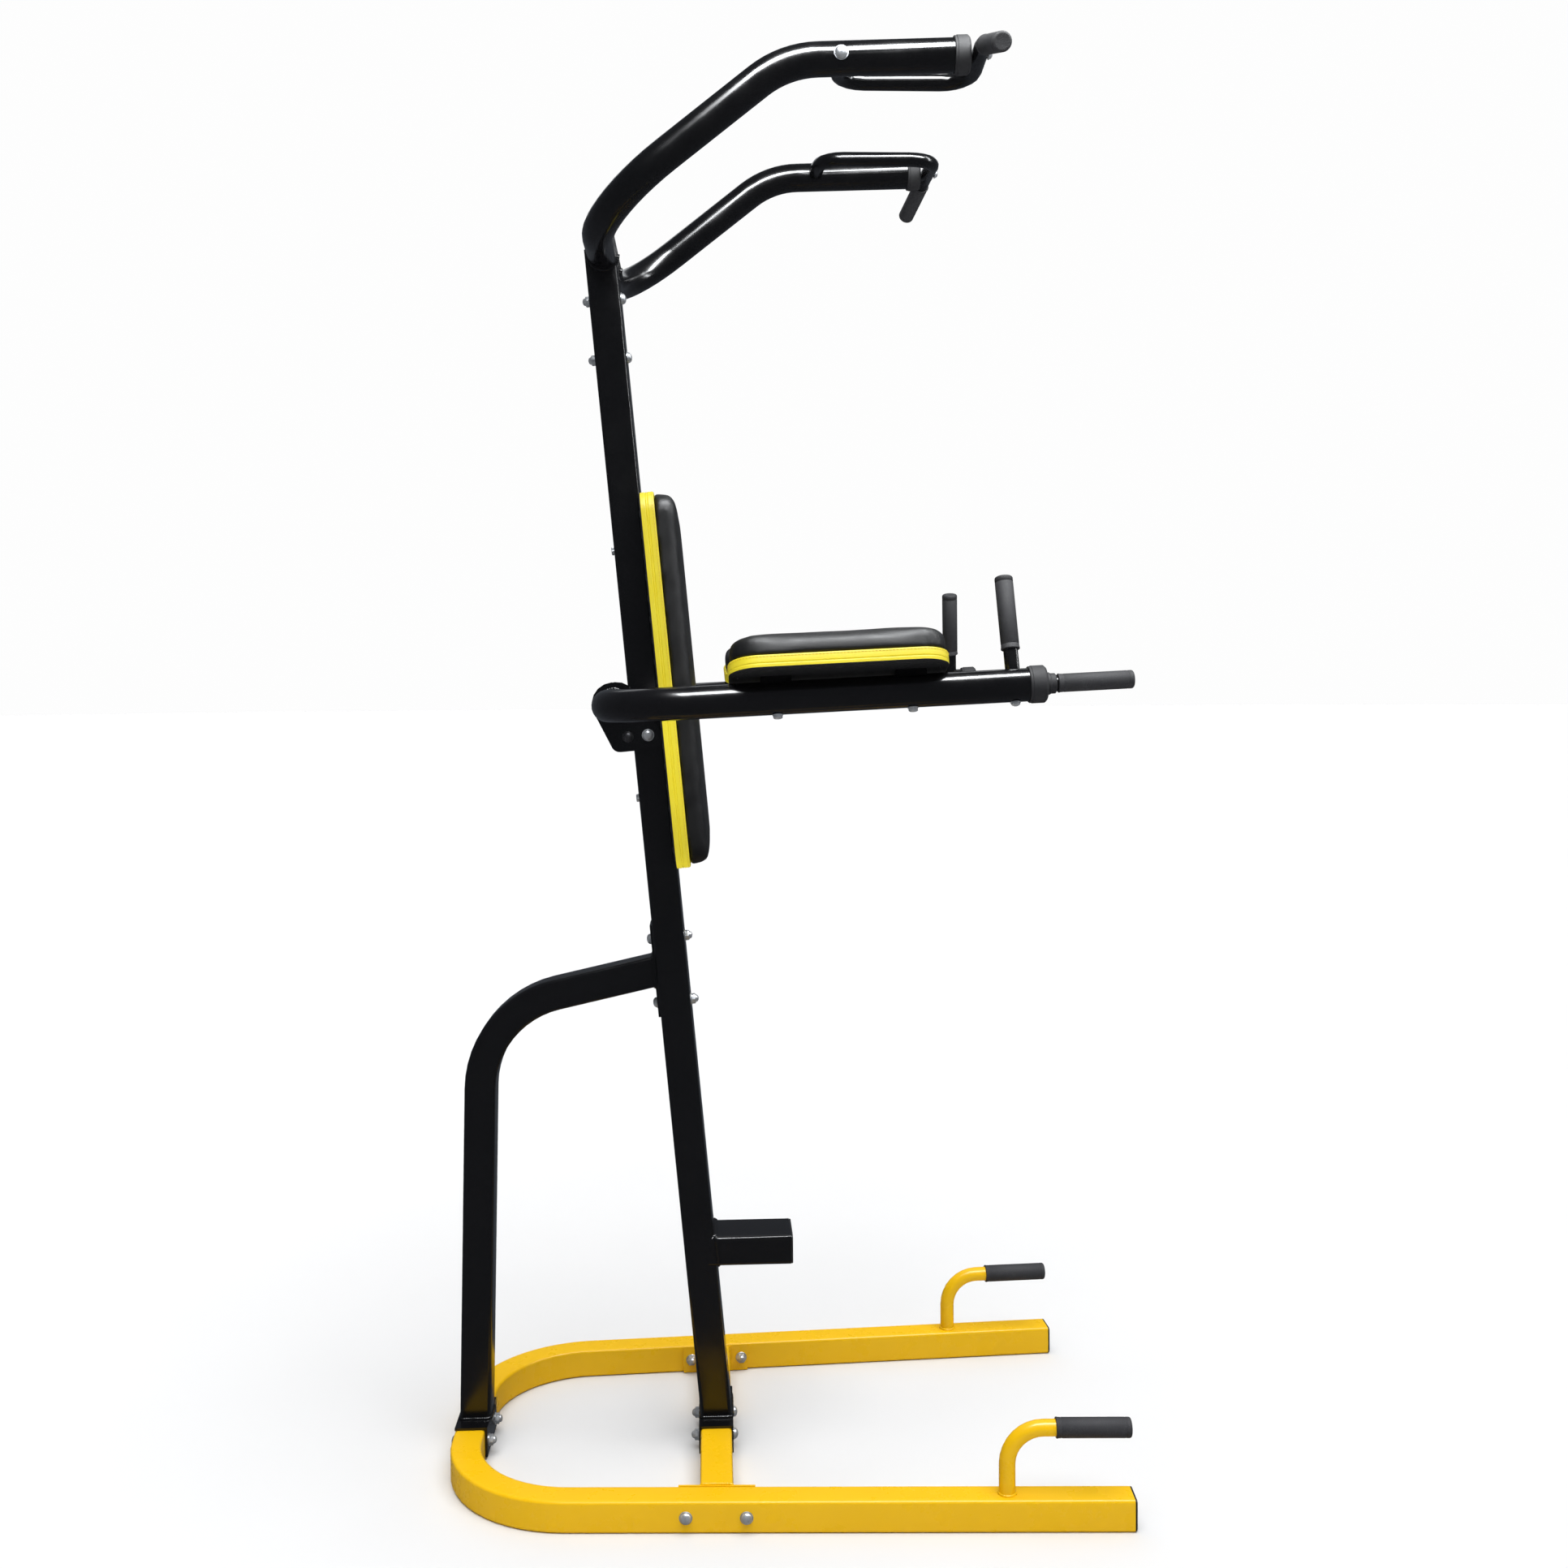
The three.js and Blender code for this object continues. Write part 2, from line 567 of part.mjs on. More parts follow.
const backPlate = block(PLATE, POST_SIZE + 6, BACK_PLATE_HIGH - BACK_PLATE_LOW, plateMiddle);
rearPost = rearPost.add(backPlate.transform(mast.matrix.elements));
rearPost = cutBy(rearPost, JOINT_BOLTS.low.map(drillLeaning));
const rearFront = REAR_X + baseMid + GAP;
const topPlateLay = place(REAR_X + (GAP + PLATE) / 2, 0, saddleFloor + PLATE / 2);
const topPlate = block(BASE_SIZE + GAP + PLATE, 2 * REAR_SADDLE_HALF, PLATE, topPlateLay);
const flangeLay = place(rearFront + PLATE / 2, 0, saddleFloor + PLATE - BASE_SIZE / 2);
const flange = block(PLATE, 2 * REAR_SADDLE_HALF, BASE_SIZE, flangeLay);
rearPost = joined(rearPost, topPlate, flange);
// Vent through the back plate into the strut.
const strutEnd = postPath.stations[postPath.steps];
rearPost = rearPost.subtract(drill(strutEnd.point, strutEnd.tangent.clone().multiplyScalar(40), 9));
for (const [, side] of SIDES) {
  const hole = vec(rearFront, side * REAR_BOLT_Y, baseMid);
  rearPost = rearPost.subtract(drill(hole, vec(20, 0, 0), HOLE_RADIUS));
}
addPiece(machine, 'rear_post', toGeometry(rearPost), blackPaint);

for (const [label, side] of SIDES) {
  const y = side * REAR_BOLT_Y;
  const from = vec(REAR_X - baseMid - GAP, y, baseMid);
  addBolt(machine, `rear_bolt_${label}`, from, vec(rearFront + PLATE + GAP, y, baseMid));
}

const mastBack = -MAST_DEPTH / 2;
for (const [index, s] of JOINT_BOLTS.low.entries()) {
  const from = vec(mastBack - PLATE - 2 * GAP, 0, s);
  addBolt(mast, `mast_bolt_low_${index + 1}`, from, vec(-mastBack + GAP, 0, s));
}
for (const [index, s] of JOINT_BOLTS.high.entries()) {
  addBolt(mast, `mast_bolt_high_${index + 1}`, vec(-mastBack + GAP, 0, s), vec(mastBack - GAP, 0, s));
}

// ---- pull-up bar --------------------------------------------------------------------------------
const pullPath = new BentPath(
  [
    vec(PULL_END_X, -PULL_END_Y, PULL_END_Z),
    vec(PULL_KNEE_X, -PULL_KNEE_Y, PULL_KNEE_Z),
    vec(PULL_ROOT_X, -PULL_ROOT_Y, PULL_ROOT_Z),
    vec(PULL_ROOT_X, PULL_ROOT_Y, PULL_ROOT_Z),
    vec(PULL_KNEE_X, PULL_KNEE_Y, PULL_KNEE_Z),
    vec(PULL_END_X, PULL_END_Y, PULL_END_Z),
  ],
  [PULL_KNEE_BEND, PULL_ROOT_BEND, PULL_ROOT_BEND, PULL_KNEE_BEND],
  [8, 11, 11, 8],
);
const barOuter = circle(BAR_RADIUS, 24);
const barInner = circle(BAR_RADIUS - BAR_WALL, 6);
let pullBar = toSolid(bentTube(pullPath, barOuter, barInner));
const tubeCore = BAR_RADIUS - 0.8; // a part welded to a round tube is cut to this radius
const pullRoot = vec(PULL_ROOT_X, 0, PULL_ROOT_Z);
const pullCore = rod(pullRoot.clone().setY(-120), pullRoot.clone().setY(120), tubeCore, 24);
const topLength = MAST_TOP - MAST_JOINT_HIGH - GAP;
const topTurn = mast.matrix.clone().multiply(place(0, 0, MAST_JOINT_HIGH + GAP));
const mastHead = toSolid(prism(mastOuter, topLength, mastInner), topTurn).subtract(pullCore);
pullBar = pullBar.add(mastHead).subtract(drillLeaning(JOINT_BOLTS.high[1]));

// Axis of the front stretch of a pull-up arm.
const pullKnee = (side) => vec(PULL_KNEE_X, side * PULL_KNEE_Y, PULL_KNEE_Z);
const pullEnd = (side) => vec(PULL_END_X, side * PULL_END_Y, PULL_END_Z);
const pullAxis = (side, x) => {
  return pullKnee(side).lerp(pullEnd(side), (x - PULL_KNEE_X) / (PULL_END_X - PULL_KNEE_X));
};
for (const [, side] of SIDES) {
  pullBar = pullBar.subtract(drill(pullAxis(side, CURL_BOLT_X), vec(0, 60, 0), HOLE_RADIUS));
}
addPiece(machine, 'pullup_bar', toGeometry(pullBar), blackPaint);

// Cup-shaped end cap that fits over a tube's open end.
function capGeometry(outer, tube, length, wall) {
  const sides = 18;
  const bore = tube / Math.cos(Math.PI / sides);
  const profile = [
    [0, wall],
    [outer - 1.5, wall],
    [outer, wall - 1.5],
    [outer, wall - length],
    [bore, wall - length],
    [bore, GAP],
    [0, GAP],
  ];
  return turned(profile.reverse(), sides);
}

// Curved side grips: from the arm's inner wall round the cap to a grip that points out and down.
for (const [label, side] of SIDES) {
  const direction = pullEnd(side).sub(pullKnee(side)).normalize();
  const start = pullAxis(side, CURL_BOLT_X);
  const corners = [
    vec(start.x, side * (PULL_END_Y - 12), start.z + 1),
    ...CURL_CORNERS.map(([x, y, z]) => vec(x, side * y, z)),
    vec(CURL_TIP_X[label], side * CURL_TIP[0], CURL_TIP[1]),
  ];
  const curlPath = new BentPath(corners, CURL_BENDS, [5, 6, 3]);
  const curlTube = bentTube(curlPath, circle(CURL_RADIUS, 14), circle(CURL_RADIUS - 2, 5));
  const armFit = rod(pullAxis(side, 160), pullEnd(side), BAR_RADIUS + GAP + 0.2, 24);
  const crossing = vec(CURL_FRONT_X, side * PULL_END_Y, CURL_BOLT_Z);
  const frontHole = drill(crossing, vec(38, 0, 0), SMALL_HOLE_RADIUS);
  const curl = cutBy(toSolid(curlTube), [armFit, frontHole]);
  addPiece(machine, `curved_grip_bar_${label}`, toGeometry(curl), blackPaint);
  const tip = curlPath.stations[curlPath.steps];
  const gripBore = CURL_RADIUS + GAP;
  const gripName = `pullup_grip_${label}`;
  addGrip(machine, gripName, tip.point, tip.tangent, CURL_GRIP_RADIUS, gripBore, CURL_GRIP_LENGTH);

  const capShape = capGeometry(CAP_RADIUS, BAR_RADIUS + GAP, 24, 3.3);
  const cap = toSolid(capShape, along(pullEnd(side), direction)).subtract(frontHole);
  addPiece(machine, `pullup_cap_${label}`, toGeometry(cap), gripRubber);

  const boltFrom = crossing.clone().add(vec(CURL_RADIUS + GAP, 0, 0));
  const boltTo = boltFrom.clone().setX(380);
  addBolt(machine, `curved_bar_bolt_front_${label}`, boltFrom, boltTo, false, 4);
}

// ---- arm rest frame -----------------------------------------------------------------------------
const armZ = (x) => ARM_Z0 + ARM_RISE * x;
const armRoot = mastPoint(ARM_ROOT, 0, ARM_ROOT_S);
const armPath = new BentPath(
  [
    vec(ARM_X, -ARM_Y, armZ(ARM_X)),
    vec(armRoot.x, -ARM_Y, armRoot.z),
    vec(armRoot.x, ARM_Y, armRoot.z),
    vec(ARM_X, ARM_Y, armZ(ARM_X)),
  ],
  [ARM_BEND, ARM_BEND],
  [11, 11],
);
const armAxis = (side, x) => {
  const t = (x - armRoot.x) / (ARM_X - armRoot.x);
  return vec(x, side * ARM_Y, armRoot.z + (armZ(ARM_X) - armRoot.z) * t);
};
const armForward = vec(ARM_X - armRoot.x, 0, armZ(ARM_X) - armRoot.z).normalize();
// Direction square to the arm and tilted inwards, for the pads and the upright grips.
const armUp = (side) => {
  const up = vec(0, 1, 0).cross(armForward).multiplyScalar(-1).normalize();
  return up.applyAxisAngle(armForward, side * TILT);
};

let armFrame = toSolid(bentTube(armPath, barOuter, barInner));
// Bracket plates on both sides of the mast, outlined round the tube and the two bolts.
function hullOfCircles(circles) {
  const points = [];
  for (const [x, y, r] of circles) {
    for (const p of circle(r, 18)) points.push([x + p.x, y + p.y]);
  }
  points.sort((a, b) => a[0] - b[0] || a[1] - b[1]);
  const turn = (o, a, b) => (a[0] - o[0]) * (b[1] - o[1]) - (a[1] - o[1]) * (b[0] - o[0]);
  const half = (list) => {
    const chain = [];
    for (const p of list) {
      while (chain.length > 1 && turn(chain[chain.length - 2], chain[chain.length - 1], p) <= 0) chain.pop();
      chain.push(p);
    }
    chain.pop();
    return chain;
  };
  return [...half(points), ...half(points.slice().reverse())].map(([x, y]) => new THREE.Vector2(x, y));
}
const bracketOutline = hullOfCircles([
  [ARM_ROOT, ARM_ROOT_S, 36],
  [-48, BRACKET_BOLT_S - 9, 15],
  [4, BRACKET_BOLT_S - 4, 20],
]);
const armRootCore = rod(armRoot.clone().setY(-110), armRoot.clone().setY(110), tubeCore, 24);
const bracketLay = new THREE.Matrix4().makeBasis(vec(1, 0, 0), vec(0, 0, 1), vec(0, -1, 0));
for (const side of [-1, 1]) {
  const y = side < 0 ? -MAST_WIDTH / 2 - GAP : MAST_WIDTH / 2 + GAP + PLATE;
  const lay = mast.matrix.clone().multiply(place(0, y, 0)).multiply(bracketLay);
  const bracket = toSolid(prism(bracketOutline, PLATE), lay).subtract(armRootCore);
  armFrame = armFrame.add(bracket);
}
for (const x of [0, BRACKET_BOLT_BACK]) {
  const hole = mastPoint(x, 0, BRACKET_BOLT_S);
  armFrame = armFrame.subtract(drill(hole, vec(0, 70, 0), HOLE_RADIUS));
}
// Cleats that hold the pads off the arm tubes at their tilt.
const padFloor = BAR_RADIUS + ARM_PAD_LIFT;
const padLay = (side, x) => {
  const up = armUp(side);
  const across = up.clone().cross(armForward).normalize();
  const basis = new THREE.Matrix4().makeBasis(armForward, across, up);
  basis.setPosition(armAxis(side, x));
  return basis;
};
// Drill square through an arm along the pads' tilt.
const drillTilted = (side, x) => drill(armAxis(side, x), armUp(side).multiplyScalar(60), SMALL_HOLE_RADIUS);
for (const [, side] of SIDES) {
  const armCore = rod(armAxis(side, 20), armAxis(side, 400), tubeCore, 24);
  for (const x of ARM_PAD_BOLTS) {
    const lay = padLay(side, x).multiply(place(0, 0, padFloor - GAP - CLEAT[2] / 2));
    armFrame = armFrame.add(block(...CLEAT, lay).subtract(armCore));
  }
  const holes = [...ARM_PAD_BOLTS, UPRIGHT_GRIP_X].map((x) => drillTilted(side, x));
  armFrame = cutBy(armFrame, holes);
}
addPiece(machine, 'arm_rest_frame', toGeometry(armFrame), blackPaint);

const plateFace = MAST_WIDTH / 2 + 2 * GAP + PLATE;
addBolt(mast, 'bracket_bolt_mast', vec(0, -plateFace, BRACKET_BOLT_S), vec(0, plateFace, BRACKET_BOLT_S));
const backFrom = vec(BRACKET_BOLT_BACK, -plateFace, BRACKET_BOLT_S);
addBolt(mast, 'bracket_bolt_back', backFrom, vec(BRACKET_BOLT_BACK, plateFace, BRACKET_BOLT_S), true, 4.6);

const gripTubeOuter = circle(GRIP_TUBE, 16);
const gripTubeInner = circle(GRIP_TUBE - 2, 6);
for (const [label, side] of SIDES) {
  // End cap with the forward grip's tube running through it into the arm.
  const end = armAxis(side, ARM_X);
  let cap = toSolid(capGeometry(CAP_RADIUS - 0.4, BAR_RADIUS + GAP, 27, 3.3), along(end, armForward));
  const gripRoot = end.clone().addScaledVector(armForward, -70);
  const gripTip = armAxis(side, FORWARD_GRIP_TIP - 4);
  cap = cap.subtract(rod(gripRoot, gripTip, GRIP_TUBE + GAP + 0.1, 16));
  addPiece(machine, `arm_cap_${label}`, toGeometry(cap), gripRubber);

  const forwardLength = gripTip.distanceTo(gripRoot);
  const forwardShape = prism(gripTubeOuter, forwardLength, gripTubeInner);
  const forwardTube = toSolid(forwardShape, along(gripRoot, armForward));
  const forward = forwardTube.subtract(drillTilted(side, UPRIGHT_GRIP_X));
  addPiece(machine, `forward_grip_tube_${label}`, toGeometry(forward), blackPaint);
  addGrip(machine, `forward_grip_${label}`, gripTip, armForward, GRIP_RADIUS, GRIP_TUBE + GAP, GRIP_LENGTH);

  // Upright grip, its tube fitted round the top of the arm.
  const up = armUp(side);
  const offArm = (distance) => armAxis(side, UPRIGHT_GRIP_X).addScaledVector(up, distance);
  const uprightTip = UPRIGHT_GRIP_TOP - 4;
  const uprightLay = along(offArm(UPRIGHT_ROOT), up);
  const uprightTube = toSolid(prism(gripTubeOuter, uprightTip - UPRIGHT_ROOT, gripTubeInner), uprightLay);
  const upright = uprightTube.subtract(rod(armAxis(side, 400), armAxis(side, ARM_X), BAR_RADIUS + GAP, 24));
  addPiece(machine, `upright_grip_tube_${label}`, toGeometry(upright), blackPaint);
  const gripName = `upright_grip_${label}`;
  addGrip(machine, gripName, offArm(uprightTip), up, GRIP_RADIUS, GRIP_TUBE + GAP, GRIP_LENGTH);
  const below = offArm(-(BAR_RADIUS + GAP));
  addBolt(machine, `upright_grip_bolt_${label}`, below, offArm(BAR_RADIUS + 22), false, 4);
}

// ---- pads ---------------------------------------------------------------------------------------
// Slab with a rounded outline and a rounded front edge, thickness along local +Z from the origin.
function slab(length, width, thickness, corner, edge) {
  const shape = sectionShape(roundedRect(length - 2 * edge, width - 2 * edge, corner - edge, 5));
  const settings = {
    depth: thickness - edge,
    bevelEnabled: edge > 0,
    bevelThickness: edge,
    bevelSize: edge,
    bevelSegments: 2,
  };
  const whole = toSolid(new THREE.ExtrudeGeometry(shape, settings));
  if (edge === 0) return whole;
  const below = block(length + 10, width + 10, 2 * edge + 2, place(0, 0, -edge - 1));
  return whole.subtract(below);
}

const backMiddle = (BACK_PAD_LOW + BACK_PAD_HIGH) / 2;
const backLength = BACK_PAD_HIGH - BACK_PAD_LOW;
// Lay a slab's thickness along the mast's front direction and its length up the mast.
const backBasis = new THREE.Matrix4().makeBasis(vec(0, 0, 1), vec(0, -1, 0), vec(1, 0, 0));
const backLay = (x) => backBasis.clone().setPosition(x, 0, backMiddle).elements;
const boardFace = MAST_DEPTH / 2 + GAP;
const backSlab = slab(backLength, BACK_PAD_WIDTH, BACK_BOARD, BACK_CORNER, 0).transform(backLay(boardFace));
const backBoard = cutBy(backSlab, BACK_BOLTS.map((s) => rod(vec(0, 0, s), vec(boardFace + 17, 0, s), 4.5)));
addPiece(mast, 'back_pad_board', toGeometry(backBoard), yellowVinyl);
const cushionFace = boardFace + BACK_BOARD + GAP;
const backCushion = slab(backLength - 2, BACK_PAD_WIDTH - 2, BACK_CUSHION, BACK_CORNER, CUSHION_EDGE);
addPiece(mast, 'back_pad_cushion', toGeometry(backCushion.transform(backLay(cushionFace))), blackVinyl);
for (const [index, s] of BACK_BOLTS.entries()) {
  addBolt(mast, `back_pad_bolt_${index + 1}`, vec(mastBack - GAP, 0, s), vec(boardFace + 15, 0, s), false, 4);
}

for (const [label, side] of SIDES) {
  // Matrix of the pads' frame on the arm, at a distance along and above the arm's axis.
  const padAt = (x, height) => padLay(side, x).multiply(place(0, 0, height));
  const boardSlab = slab(ARM_PAD_LENGTH, ARM_PAD_WIDTH, ARM_BOARD, ARM_PAD_CORNER, 0);
  const board = cutBy(boardSlab.transform(padAt(ARM_PAD_X, padFloor).elements), ARM_PAD_BOLTS.map((x) => {
    return drill(armAxis(side, x), armUp(side).multiplyScalar(padFloor + 14), 4.5);
  }));
  addPiece(machine, `arm_pad_board_${label}`, toGeometry(board), yellowVinyl);
  const cushionSlab = slab(ARM_PAD_LENGTH - 2, ARM_PAD_WIDTH - 2, ARM_CUSHION, ARM_PAD_CORNER, CUSHION_EDGE);
  const cushion = cushionSlab.transform(padAt(ARM_PAD_X, padFloor + ARM_BOARD + GAP).elements);
  addPiece(machine, `arm_pad_cushion_${label}`, toGeometry(cushion), blackVinyl);
  for (const [index, x] of ARM_PAD_BOLTS.entries()) {
    const from = armAxis(side, x).addScaledVector(armUp(side), -(BAR_RADIUS + GAP));
    const to = armAxis(side, x).addScaledVector(armUp(side), padFloor + 12);
    addBolt(machine, `arm_pad_bolt_${label}_${index + 1}`, from, to, false, 4);
  }
}

export default machine;
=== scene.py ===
"""Looks of the power tower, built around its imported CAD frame.

Lengths are in metres in the CAD's frame: +X is the front of the machine, +Y its left side, +Z up.
The script dresses the CAD tubes and plates, and replaces the pads, grips, caps, plugs and bolts by
detailed pieces that stand exactly where the CAD has them.
"""

import json
import math
from bisect import bisect_right

import bmesh
import bpy
import numpy as np
from mathutils import Matrix, Vector


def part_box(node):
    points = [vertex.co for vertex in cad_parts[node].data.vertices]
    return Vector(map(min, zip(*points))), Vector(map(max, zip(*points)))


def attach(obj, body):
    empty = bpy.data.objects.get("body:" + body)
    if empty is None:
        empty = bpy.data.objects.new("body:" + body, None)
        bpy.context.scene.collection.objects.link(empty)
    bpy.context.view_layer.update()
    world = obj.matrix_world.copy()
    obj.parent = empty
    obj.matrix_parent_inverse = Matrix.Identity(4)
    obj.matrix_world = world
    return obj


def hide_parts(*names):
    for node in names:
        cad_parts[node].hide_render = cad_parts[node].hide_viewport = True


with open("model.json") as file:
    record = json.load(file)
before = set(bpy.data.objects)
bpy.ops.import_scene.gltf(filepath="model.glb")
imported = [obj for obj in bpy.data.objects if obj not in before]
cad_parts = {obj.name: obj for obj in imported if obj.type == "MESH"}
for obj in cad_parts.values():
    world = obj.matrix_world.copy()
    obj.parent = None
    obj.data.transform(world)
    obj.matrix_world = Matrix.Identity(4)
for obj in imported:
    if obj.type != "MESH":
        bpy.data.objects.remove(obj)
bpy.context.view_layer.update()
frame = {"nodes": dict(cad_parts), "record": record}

NODES = frame["nodes"]
MM = 0.001
SIDES = (("right", -1), ("left", 1))

# ---- driving values, the same as the CAD's ----
ORIGIN_X = 99.3 * MM  # from the crossbar plane to the frame's origin
LEAN = math.atan(0.0896)  # the mast leans back by this angle
MAST_DEPTH = 52 * MM
MAST_WIDTH = 90 * MM
BASE_SIZE = 50 * MM
RAIL_FRONT = (638 * MM, 326 * MM)  # x and y of a rail's front end, from the crossbar plane
RAIL_SPLAY = 0.0557
HANDLE_X = 446 * MM
BAR_RADIUS = 25.4 * MM
PULL_ROOT = (-170 * MM, 2003 * MM)
PULL_KNEE = (120 * MM, 290.4 * MM, 2229.8 * MM)
PULL_END = (395 * MM, 293 * MM, 2239.6 * MM)
CURL_BOLT_X = 203 * MM
CURL_BOLT_SIZE = 5.4 * MM  # radius of its shank
ARM_ROOT = (-52 * MM, 1223 * MM)  # across and along the mast
STRUT_ROOT = 767 * MM  # along the mast
STEP_ROOT = 294 * MM  # along the mast
PLATE = 4 * MM  # thickness of saddles, brackets and end plates
GAP = 0.3 * MM  # clearance between CAD pieces that touch


def model_point(x, y, z):
    """A point given from the crossbar plane, as the CAD's source does, in the frame."""
    return Vector((x - ORIGIN_X, y, z))


UP = Vector((0, 0, 1))
ACROSS = Vector((0, 1, 0))
MAST_UP = Vector((-math.sin(LEAN), 0, math.cos(LEAN)))
MAST_FORWARD = Vector((math.cos(LEAN), 0, math.sin(LEAN)))
MAST_ORIGIN = model_point(1 * MM, 0, BASE_SIZE)


def mast_point(across, y, up):
    return MAST_ORIGIN + MAST_FORWARD * across + MAST_UP * up + ACROSS * y


def rail_y(x):
    return RAIL_FRONT[1] - RAIL_SPLAY * (RAIL_FRONT[0] - x)


# ---- frames read from the CAD nodes ----
def positions(mesh):
    """Vertex positions of a mesh, as an array."""
    co = np.zeros(len(mesh.vertices) * 3)
    mesh.vertices.foreach_get("co", co)
    return co.reshape(-1, 3)


def points_of(node):
    """Corner points of a CAD node without repeats, as an array."""
    return np.unique(np.round(positions(NODES[node].data), 6), axis=0)


def principal(node):
    """Centre and principal directions of a node, from the longest spread to the shortest."""
    points = points_of(node)
    centre = points.mean(0)
    values, vectors = np.linalg.eigh(np.cov((points - centre).T))
    order = np.argsort(values)[::-1]
    return centre, values[order], vectors[:, order].T, points


def turned_axis(node):
    """Axis of a turned body: the direction whose spread differs from the other two."""
    centre, values, directions, points = principal(node)
    first = values[0] - values[1] > values[1] - values[2]
    axis = directions[0] if first else directions[2]
    return centre, axis, points


def along_axis(centre, axis, points):
    """Positions along the axis and distances from it."""
    rel = points - centre
    height = rel @ axis
    radius = np.linalg.norm(rel - np.outer(height, axis), axis=1)
    return height, radius


def frame_at(origin, direction):
    """Placement that carries local +Z onto a direction, with local +X as steep as it can be."""
    z = Vector(direction).normalized()
    hint = Vector((1, 0, 0)) if abs(z.z) > 0.98 else UP
    x = (hint - z * hint.dot(z)).normalized()
    turn = Matrix((x, z.cross(x), z)).transposed().to_4x4()
    return Matrix.Translation(Vector(origin)) @ turn


# ---- material nodes ----
class Nodes:
    """Short way to write a material's node tree."""

    def __init__(self, name):
        self.material = bpy.data.materials.new(name)
        self.material.use_nodes = True
        self.tree = self.material.node_tree
        self.shader = self.tree.nodes["Principled BSDF"]
        self.place = self.add("ShaderNodeTexCoord").outputs["Object"]

    def add(self, kind, **settings):
        node = self.tree.nodes.new(kind)
        for key, value in settings.items():
            setattr(node, key, value)
        return node

    def link(self, output, target):
        self.tree.links.new(output, target)

    def set(self, **values):
        for key, value in values.items():
            self.shader.inputs[key.replace("_", " ")].default_value = value

    def noise(self, scale, detail, roughness=0.5):
        node = self.add("ShaderNodeTexNoise")
        node.inputs["Scale"].default_value = scale
        node.inputs["Detail"].default_value = detail
        node.inputs["Roughness"].default_value = roughness
        self.link(self.place, node.inputs["Vector"])
        return node.outputs["Fac"]

    def cells(self, scale, feature="F1", place=None):
        node = self.add("ShaderNodeTexVoronoi", feature=feature)
        node.inputs["Scale"].default_value = scale
        self.link(place or self.place, node.inputs["Vector"])
        return node.outputs["Distance"]

    def spread(self, value, low, high, to_low=0.0, to_high=1.0):
        node = self.add("ShaderNodeMapRange")
        for key, number in zip(("From Min", "From Max", "To Min", "To Max"), (low, high, to_low, to_high)):
            node.inputs[key].default_value = number
        self.link(value, node.inputs["Value"])
        return node.outputs["Result"]

    def math(self, operation, first, second):
        node = self.add("ShaderNodeMath", operation=operation)
        for slot, value in zip(node.inputs, (first, second)):
            if isinstance(value, (int, float)):
                slot.default_value = value
            else:
                self.link(value, slot)
        return node.outputs[0]

    def mix(self, factor, first, second):
        node = self.add("ShaderNodeMix", data_type="RGBA")
        self.link(factor, node.inputs["Factor"])
        for slot, value in ((node.inputs[6], first), (node.inputs[7], second)):
            if isinstance(value, tuple):
                slot.default_value = (*value, 1.0)
            else:
                self.link(value, slot)
        return node.outputs[2]

    def bump(self, height, depth):
        """Surface relief whose height of 1 stands for the depth in metres."""
        node = self.add("ShaderNodeBump")
        node.inputs["Strength"].default_value = 1.0
        node.inputs["Distance"].default_value = depth
        self.link(height, node.inputs["Height"])
        self.link(node.outputs["Normal"], self.shader.inputs["Normal"])

    def colour(self, output):
        self.link(output, self.shader.inputs["Base Color"])

    def roughness(self, output):
        self.link(output, self.shader.inputs["Roughness"])

    def height(self):
        """Height above the floor."""
        node = self.add("ShaderNodeSeparateXYZ")
        self.link(self.place, node.inputs["Vector"])
        return node.outputs["Z"]


def powder_coat(name, base, light, rough, specular, peel_depth):
    """Gloss powder coat: orange peel, faint mottling, handling smears and dull scuffs near the floor."""
    n = Nodes(name)
    mottling = n.spread(n.noise(6.0, 3.0), 0.3, 0.7)
    speck = n.spread(n.noise(900.0, 2.0), 0.35, 0.75)
    tone = n.math("ADD", n.math("MULTIPLY", mottling, 0.6), n.math("MULTIPLY", speck, 0.4))
    n.colour(n.mix(tone, base, light))
    scuffs = n.spread(n.noise(60.0, 6.0, 0.7), 0.62, 0.74)
    low = n.spread(n.height(), 0.0, 60 * MM, 0.08, 0.0)
    smears = n.spread(n.noise(18.0, 5.0, 0.65), 0.35, 0.75, rough * 0.85, rough * 1.4)
    n.roughness(n.math("ADD", smears, n.math("MULTIPLY", scuffs, low)))
    n.bump(n.noise(170.0, 1.5), peel_depth)
    n.set(Specular_IOR_Level=specular)
    return n.material


def moulded_rubber(name, base, light, cell_scale, depth):
    """Matte rubber with a pebbled skin and paler, worn high spots."""
    n = Nodes(name)
    pebbles = n.cells(cell_scale)
    fine = n.noise(cell_scale * 2.2, 3.0)
    worn = n.spread(n.noise(55.0, 5.0, 0.65), 0.45, 0.72)
    tops = n.spread(pebbles, 0.15, 0.5, 1.0, 0.0)
    n.colour(n.mix(n.math("MULTIPLY", worn, tops), base, light))
    n.roughness(n.spread(fine, 0.3, 0.7, 0.6, 0.82))
    relief = n.math("ADD", n.math("MULTIPLY", tops, 0.8), n.math("MULTIPLY", fine, 0.3))
    n.bump(relief, depth)
    n.set(Specular_IOR_Level=0.35)
    return n.material


